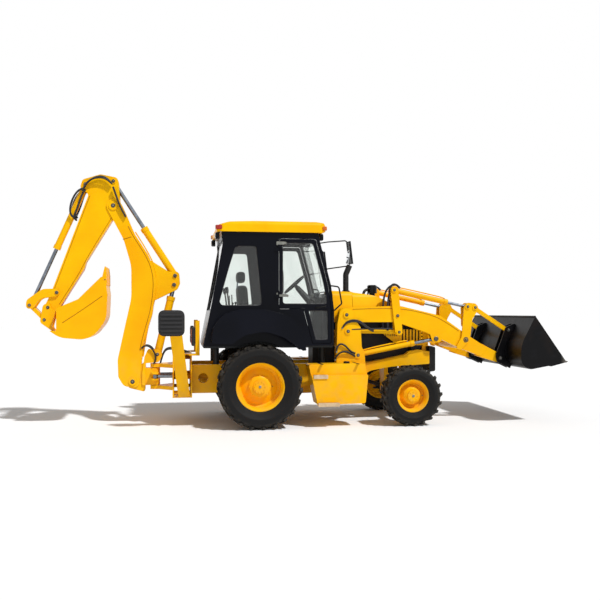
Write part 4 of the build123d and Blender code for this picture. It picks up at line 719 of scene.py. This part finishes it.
# pin ends: a turned washer and a hexagon bolt on each, by body, face, radius and (x, z) places
PINS = (
    ("chassis", 639, 26, [(1341, 1633), (1363, 1385), (1515, 1026)]),
    ("loader_arms_body", 633, 24, [(2135, 1619), (3225, 1247)]),
    ("levelling_levers_body", 637, 22, [(2082, 2010), (2157, 1371)]),
    ("bell_cranks_body", 637, 22, [(3253, 1757), (3375, 1745)]),
    ("bucket_hinge_pins_body", 640, 24, [(3785, 960)]),
    ("loader_bucket_body", 625, 26, [(3925, 1390)]),
    ("boom_body", 111, 32, [(-1830, 629), (-2115, 3267)]),
    ("swing_post_body", 97, 26, [(-1465, 1035)]),
    ("dipper_body", 88, 26, [(-2113, 3637), (-2519, 3583)]),
    ("backhoe_bucket_body", 109, 24, [(-3052, 1742), (-3102, 1560)]),
    ("tipping_lever_body", 120, 24, [(-3310, 1775)]),
)
for body, y, r, spots in PINS:
    centres = [(x, y, z) for x, z in spots]
    label = body.replace("_body", "")
    bolt = [(r * 0.5, 4), (r * 0.5, 13), (r * 0.4, 15), (r * 0.2, 15)]
    skin(f"{label}_pin_washers", body, steel, pair(turned([(r, -4), (r, 3), (r - 3, 5), (r * 0.6, 5)], centres)))
    skin(f"{label}_pin_bolts", body, zinc, pair(turned(bolt, centres, "y", 6)))
# plain pin heads without a bolt
for name, body, head, spots in (
    ("lift_eye_pins", "loader_arms_body", [(36, -2), (36, 8), (30, 12), (12, 13)], [(2755, 595, 1264)]),
    ("boom_ram_pins", "boom_body", [(30, -2), (30, 5), (24, 8), (8, 9)], [(-1217, 98, 2088), (-1202, 98, 2225)]),
    ("tipping_pins", "dipper_body", [(26, -4), (26, 6), (20, 9), (8, 9)], [(-2925, 118, 1963)]),
):
    skin(name, body, steel, pair(turned(head, spots)))

# hub covers, bolts, plugs and valve stems turn with the wheels
for name, x, y, z, r in (("rear", 0, 904, 605, 152), ("front", 2249, 962, 443, 116)):
    dome = [(r + 12, -6), (r + 12, 8), (r, 14), (r, 22), (r - 16, 34), (96, 40), (40, 40)]
    for side, s in SIDES:
        skin(f"{name}_hub_cover_{side}", f"{name}_wheel_{side}", hub_yellow, on_side(turned(dome, [(x, y, z)]), s))
for name, x, y, z, ring, r, count in (("rear", 0, 966, 605, 74, 8, 10), ("front", 2249, 1038, 443, 62, 7, 8)):
    a = np.linspace(0, 2 * np.pi, count, endpoint=False)
    spots = np.stack([x + ring * np.cos(a), np.full(count, float(y)), z + ring * np.sin(a)], 1)
    valve = [sweep([(x + 2.6 * ring, y - 84, z), (x + 2.5 * ring, y - 40, z)], 6, 8)]
    heads = turned([(r, -2), (r, 7), (r * 0.8, 9), (r * 0.3, 9)], spots, "y", 6)
    for side, s in SIDES:
        body = f"{name}_wheel_{side}"
        plug = turned([(20, -2), (20, 6), (15, 9), (5, 9)], [(x, s * y, z)], "y", 20, sign=s)
        skin(f"{name}_hub_bolts_{side}", body, yellow, on_side(heads, s))
        skin(f"{name}_hub_plug_{side}", body, zinc, plug)
        skin(f"{name}_valve_{side}", body, rubber, on_side(valve, s))

# Hoses and steel pipes


def hose(name, body, routes, r=13, coat=rubber, twin=False):
    """Round hoses along smooth lines through guide points, all of one size, in one mesh."""
    grids = np.array([sweep(flow(route, 7), r, 12) for route in routes])
    return skin(name, body, coat, pair(grids) if twin else grids)


hose("lever_hoses", "levelling_levers_body", [[
    (1930 + d, 538 + 3 * e, 1392), (1925 + d, 538 + 3 * e, 1600), (1930 + d, 538 + 3 * e, 1850),
    (1975 + d, 540 + e, 2020), (2060, 542 + e, 2085 + 0.3 * d), (2140, 545 + e, 2098), (2190, 548 + e, 2040)
] for d, e in ((0, 0), (62, 14))], 15, twin=True)
hose("lever_foot_hoses", "levelling_levers_body", [[
    (2052 + d, 490, 1400), (2050 + d, 490, 1560), (2050 + d, 490, 1700), (2052 + d, 490, 1860)
] for d in (0, 34)], 13, twin=True)
hose("arm_loop_hoses", "chassis", [[
    (1276, 620 + e, 1440), (1330, 634, 1530 - e), (1440, 640, 1562 - e), (1560, 640, 1540 - e),
    (1660, 634, 1440 - e), (1760, 620, 1402 - e)
] for e in (0, 22)], 11, twin=True)
hose("link_hoses", "levelling_links_body", [[
    (1420, 600 + e, 1412), (1650, 602 + e, 1422), (1900, 602 + e, 1424), (2060, 600 + e, 1420)
] for e in (0, 20)], 10, twin=True)
hose("lift_ram_hoses", "chassis", [[
    (1180, 648, 1080), (1190, 652, 1170), (1250, 655, 1206), (1320, 655, 1170), (1390, 645, 1085),
    (1450, 630, 1060), (1480, 618, 1050)
], [
    (1160, 640, 960), (1172, 652, 1000), (1205, 660, 1050), (1270, 664, 1084), (1340, 662, 1082),
    (1420, 648, 1040), (1470, 630, 1010)
]], 14, twin=True)
hose("tilt_ram_pipes", "tilt_barrels_body", [[
    (2150, 552, 2052), (2260, 552, 2034), (2500, 552, 1982), (2760, 552, 1926), (2880, 552, 1896), (2900, 552, 1880)
]], 10, pipe_yellow, True)
hose("lift_ram_pipes", "lift_barrels_body", [[
    (1600, 548, 1094), (1760, 548, 1136), (1960, 548, 1176), (2180, 548, 1218), (2290, 548, 1240), (2310, 548, 1226)
]], 10, pipe_yellow, True)
hose("boom_head_hoses", "dipper_body", [[
    (-2556, -104 - e, 3470), (-2520, -112 - e, 3560), (-2440, -118 - e, 3650), (-2320, -120 - e, 3705 - e),
    (-2215, -120 - e, 3690 - e), (-2130, -116 - e, 3590)
] for e in (0, 24)], 14)
hose("boom_top_hoses", "boom_body", [[
    (-2112, -122 - e, 3540), (-2078, -120 - e, 3440), (-2040, -118 - e, 3330), (-2005, -114 - e, 3240),
    (-1955, -112 - e, 3150), (-1930, -108 - e, 3100)
] for e in (0, 24)], 14)
hose("curl_ram_hoses", "curl_barrel_body", [[
    (-2540, s * 70, 3520), (-2610, s * 92, 3500), (-2690, s * 98, 3390), (-2740, s * 98, 3240),
    (-2735, s * 92, 3120), (-2690, s * 84, 3080), (-2650, s * 72, 3105)
] for s in (-1, 1)] + [[
    (-2520, s * 74, 3500), (-2560, s * 100, 3440), (-2590, s * 108, 3340), (-2630, s * 108, 3220),
    (-2672, s * 100, 3120), (-2690, s * 88, 3068), (-2664, s * 70, 3060)
] for s in (-1, 1)], 15)
hose("boom_pipes", "boom_body", [[
    (-1790, y, 2880), (-1640, y, 2640), (-1520, y, 2420), (-1470, y, 2200), (-1485, y, 1950), (-1560, y, 1660),
    (-1640, y, 1300), (-1680, y, 1000)
] for y in (-82, -58, 58, 82)], 9, pipe_yellow)
hose("boom_foot_hoses", "swing_post_body", [[
    (-1700, s * 104, 1130), (-1640, s * 125, 1180), (-1560, s * 130, 1150), (-1500, s * 124, 1060),
    (-1480, s * 112, 960), (-1520, s * 108, 890)
] for s in (-1, 1)], 13)
hose("swing_hoses", "chassis", [[
    (-975, y, 890 + z), (-1080, y, 930 + z), (-1180, y * 0.9, 960 + z), (-1290, y * 0.75, 975 + z),
    (-1370, y * 0.6, 940 + z), (-1420, y * 0.5, 905)
] for y, z in ((-150, 150), (-90, 160), (90, 160), (150, 150))], 13)
for side, s in SIDES:
    hose(f"stabilizer_hoses_{side}", "chassis", [[
        (-1180, s * 70, 1068), (-1180, s * 90, 1110), (-1170, s * 150, 1120), (-1130, s * 210, 1090),
        (-1100, s * 220, 1064)
    ]], 10)
hose("intake_duct", "hood_body", [[
    (1795, -110, 2030), (1760, -110, 2020), (1735, -110, 1985), (1725, -110, 1940)
]], 22)


def unions(name, body, spots, axis="y", r=17, twin=False):
    """Hexagon hose unions: a turned profile with six sides at each spot."""
    grid = turned([(r * 0.7, -14), (r, -12), (r, 12), (r * 0.7, 14)], spots, axis, 6)
    skin(name, body, zinc, pair(grid) if twin else grid)


unions("lift_ram_unions", "lift_barrels_body", [(1600, 550, 1090), (2310, 550, 1222)], "z", 15, True)
unions("tilt_ram_unions", "tilt_barrels_body", [(2150, 550, 2046), (2898, 550, 1876)], "z", 15, True)
unions("curl_ram_unions", "curl_barrel_body", [(-2664, -60, 3130), (-2664, 60, 3130)], "z", 14)
unions("tower_unions", "chassis", [(1180, 648, 1078), (1162, 640, 960), (1276, 620, 1436)], "z", 18, True)

# weld beads on the plates, each with 90 ripples along it; their darker amber colour is painted shade along the seams
BEAD_R = 4.5
WELDS = (
    ("boom_body", 97.5, [[(-1725, 1100), (-1695, 1250), (-1640, 1450), (-1580, 1650), (-1545, 1850), (-1525, 2050),
                          (-1528, 2200), (-1562, 2360), (-1628, 2510), (-1720, 2660), (-1820, 2810), (-1895, 2960)],
                         [(-1975, 2765), (-1920, 2780), (-1850, 2805)]]),
    ("dipper_body", 78.5, [[(-2060, 3225), (-2132, 3097), (-2532, 2428), (-2559, 2329), (-2893, 1790)],
                           [(-2455, 3405), (-2560, 3120), (-2760, 2570), (-2975, 1985)]]),
    ("loader_arms_body", 595.5, [[(1440, 1716), (2170, 1744), (2550, 1662), (2800, 1596), (3120, 1382)]]),
    ("backhoe_bucket_body", 300.5, [[(-2253, 1911), (-2546, 1699), (-2815, 1519)]]),
)
for body, face, lines in WELDS:
    for i, line in enumerate(lines):
        bead = sweep(flow([(x, face, z) for x, z in line], 40), BEAD_R, 8, 0.16, 90)
        skin(f"{body}_weld_{i}", body, shaded_seam_yellow, pair(bead))

# loader bucket: bolted cutting edge, side cutters and a stiffened top lip
BOLTS = [(4500, y, 898) for y in np.linspace(-1050, 1050, 12)]
CUTTER = rounded([(4000, 1020, 20), (4560, 940, 10), (4180, 1500, 20), (4110, 1480, 20)])
skin("edge_bolts", "loader_bucket_body", steel, turned([(17, -2), (17, 6), (13, 10), (5, 11)], BOLTS, "z", 12))
skin("bucket_top_lip", "loader_bucket_body", bucket_black, [
    sweep([(4100, -1149, 1606), (4100, 0, 1606), (4100, 1149, 1606)], 14, 12)
])
skin("bucket_side_cutters", "loader_bucket_body", bucket_black, pair(prism(CUTTER, 1128, 1136, "y", 1.5)))

# digging bucket: pins through the tooth shanks
TEETH = [(-2216, -270 + 135 * i, 2150) for i in range(5)]
skin("tooth_pins", "backhoe_bucket_body", steel, turned([(9, -32), (9, 32), (5, 34)], TEETH, "y", 10))

# hood and cowl trim: catches, seam rubber, vents and the exhaust's rain flap
CATCH = rounded([(2180, 1530, 8), (2240, 1530, 8), (2240, 1556, 8), (2180, 1556, 8)])
skin("hood_catches", "hood_body", black_enamel, pair(prism(CATCH, 429, 440, "y", 3)))
skin("hood_seam", "chassis", seal, pair(sweep([(1180, 431, 1518), (1900, 431, 1518), (2680, 431, 1518)], 4, 8)))
vents = [
    prism([(x, 1300), (x + 8, 1300), (x + 8, 1450), (x, 1450)], 428, 438, "y", 1) for x in range(1660, 2180, 34)
]
skin("cowl_vents", "chassis", black_enamel, pair(np.array(vents)))
skin("rain_flap", "chassis", steel, turned([(50, -3), (50, 2), (30, 5), (4, 6)], [(1495, -200, 2430)], "z", 24))

# Studio: a pale floor, a white surround, one high key lamp ahead and to the right, and a soft sky

FLOOR_HALF = 60000
FLOOR = [(-FLOOR_HALF + AXLE_X, -FLOOR_HALF), (FLOOR_HALF + AXLE_X, -FLOOR_HALF), (FLOOR_HALF + AXLE_X, FLOOR_HALF),
         (-FLOOR_HALF + AXLE_X, FLOOR_HALF)]
floor_paint, tree, shader, where = finish("studio_floor_paint", Roughness=0.9, Specular_IOR_Level=0.1)
speck = add(tree, "TexNoise", Vector=where, Scale=0.6)
wear(tree, shader, Base_Color=add(tree, "Mix", 2, data_type="RGBA", n0=speck, n6="#FFFFFF", n7="#FAFAFA"))
floor = skin("studio_floor", "chassis", floor_paint, prism(FLOOR, -20, -1, "z", 0.5))
floor.parent = None

world = bpy.data.worlds.new("studio")
scene.world = world
world.use_nodes = True
tree = world.node_tree
sky = tree.nodes["Background"]
sky.inputs["Color"].default_value = linear("#FFFFFF")
seen = tree.nodes.new("ShaderNodeLightPath").outputs
mirrored = add(tree, "Math", operation="MAXIMUM", n0=seen["Is Glossy Ray"], n1=seen["Is Transmission Ray"])
bright = add(tree, "Math", operation="MAXIMUM", n0=seen["Is Camera Ray"], n1=mirrored)
wear(tree, sky, Strength=add(tree, "MapRange", Value=bright, To_Min=0.34, To_Max=1.0))

sun = bpy.data.lights.new("key_lamp", "SUN")
sun.energy = 2.8
sun.angle = radians(3)
key = bpy.data.objects.new("key_lamp", sun)
key.rotation_euler = (radians(27), radians(25), 0)
scene.collection.objects.link(key)

# The camera stands where the photograph was taken: level, turned 9.3 degrees from square on
lens = bpy.data.cameras.new("camera")
lens.lens = 44.7
lens.sensor_width = 36
lens.shift_y = 0.02
lens.clip_end = 300
camera = bpy.data.objects.new("camera", lens)
camera.location = (-1.790, -11.55, 1.675)
camera.rotation_euler = (radians(90), 0, radians(-9.3))
scene.collection.objects.link(camera)
scene.camera = camera
scene.view_settings.view_transform = "Standard"

bpy.context.view_layer.update()
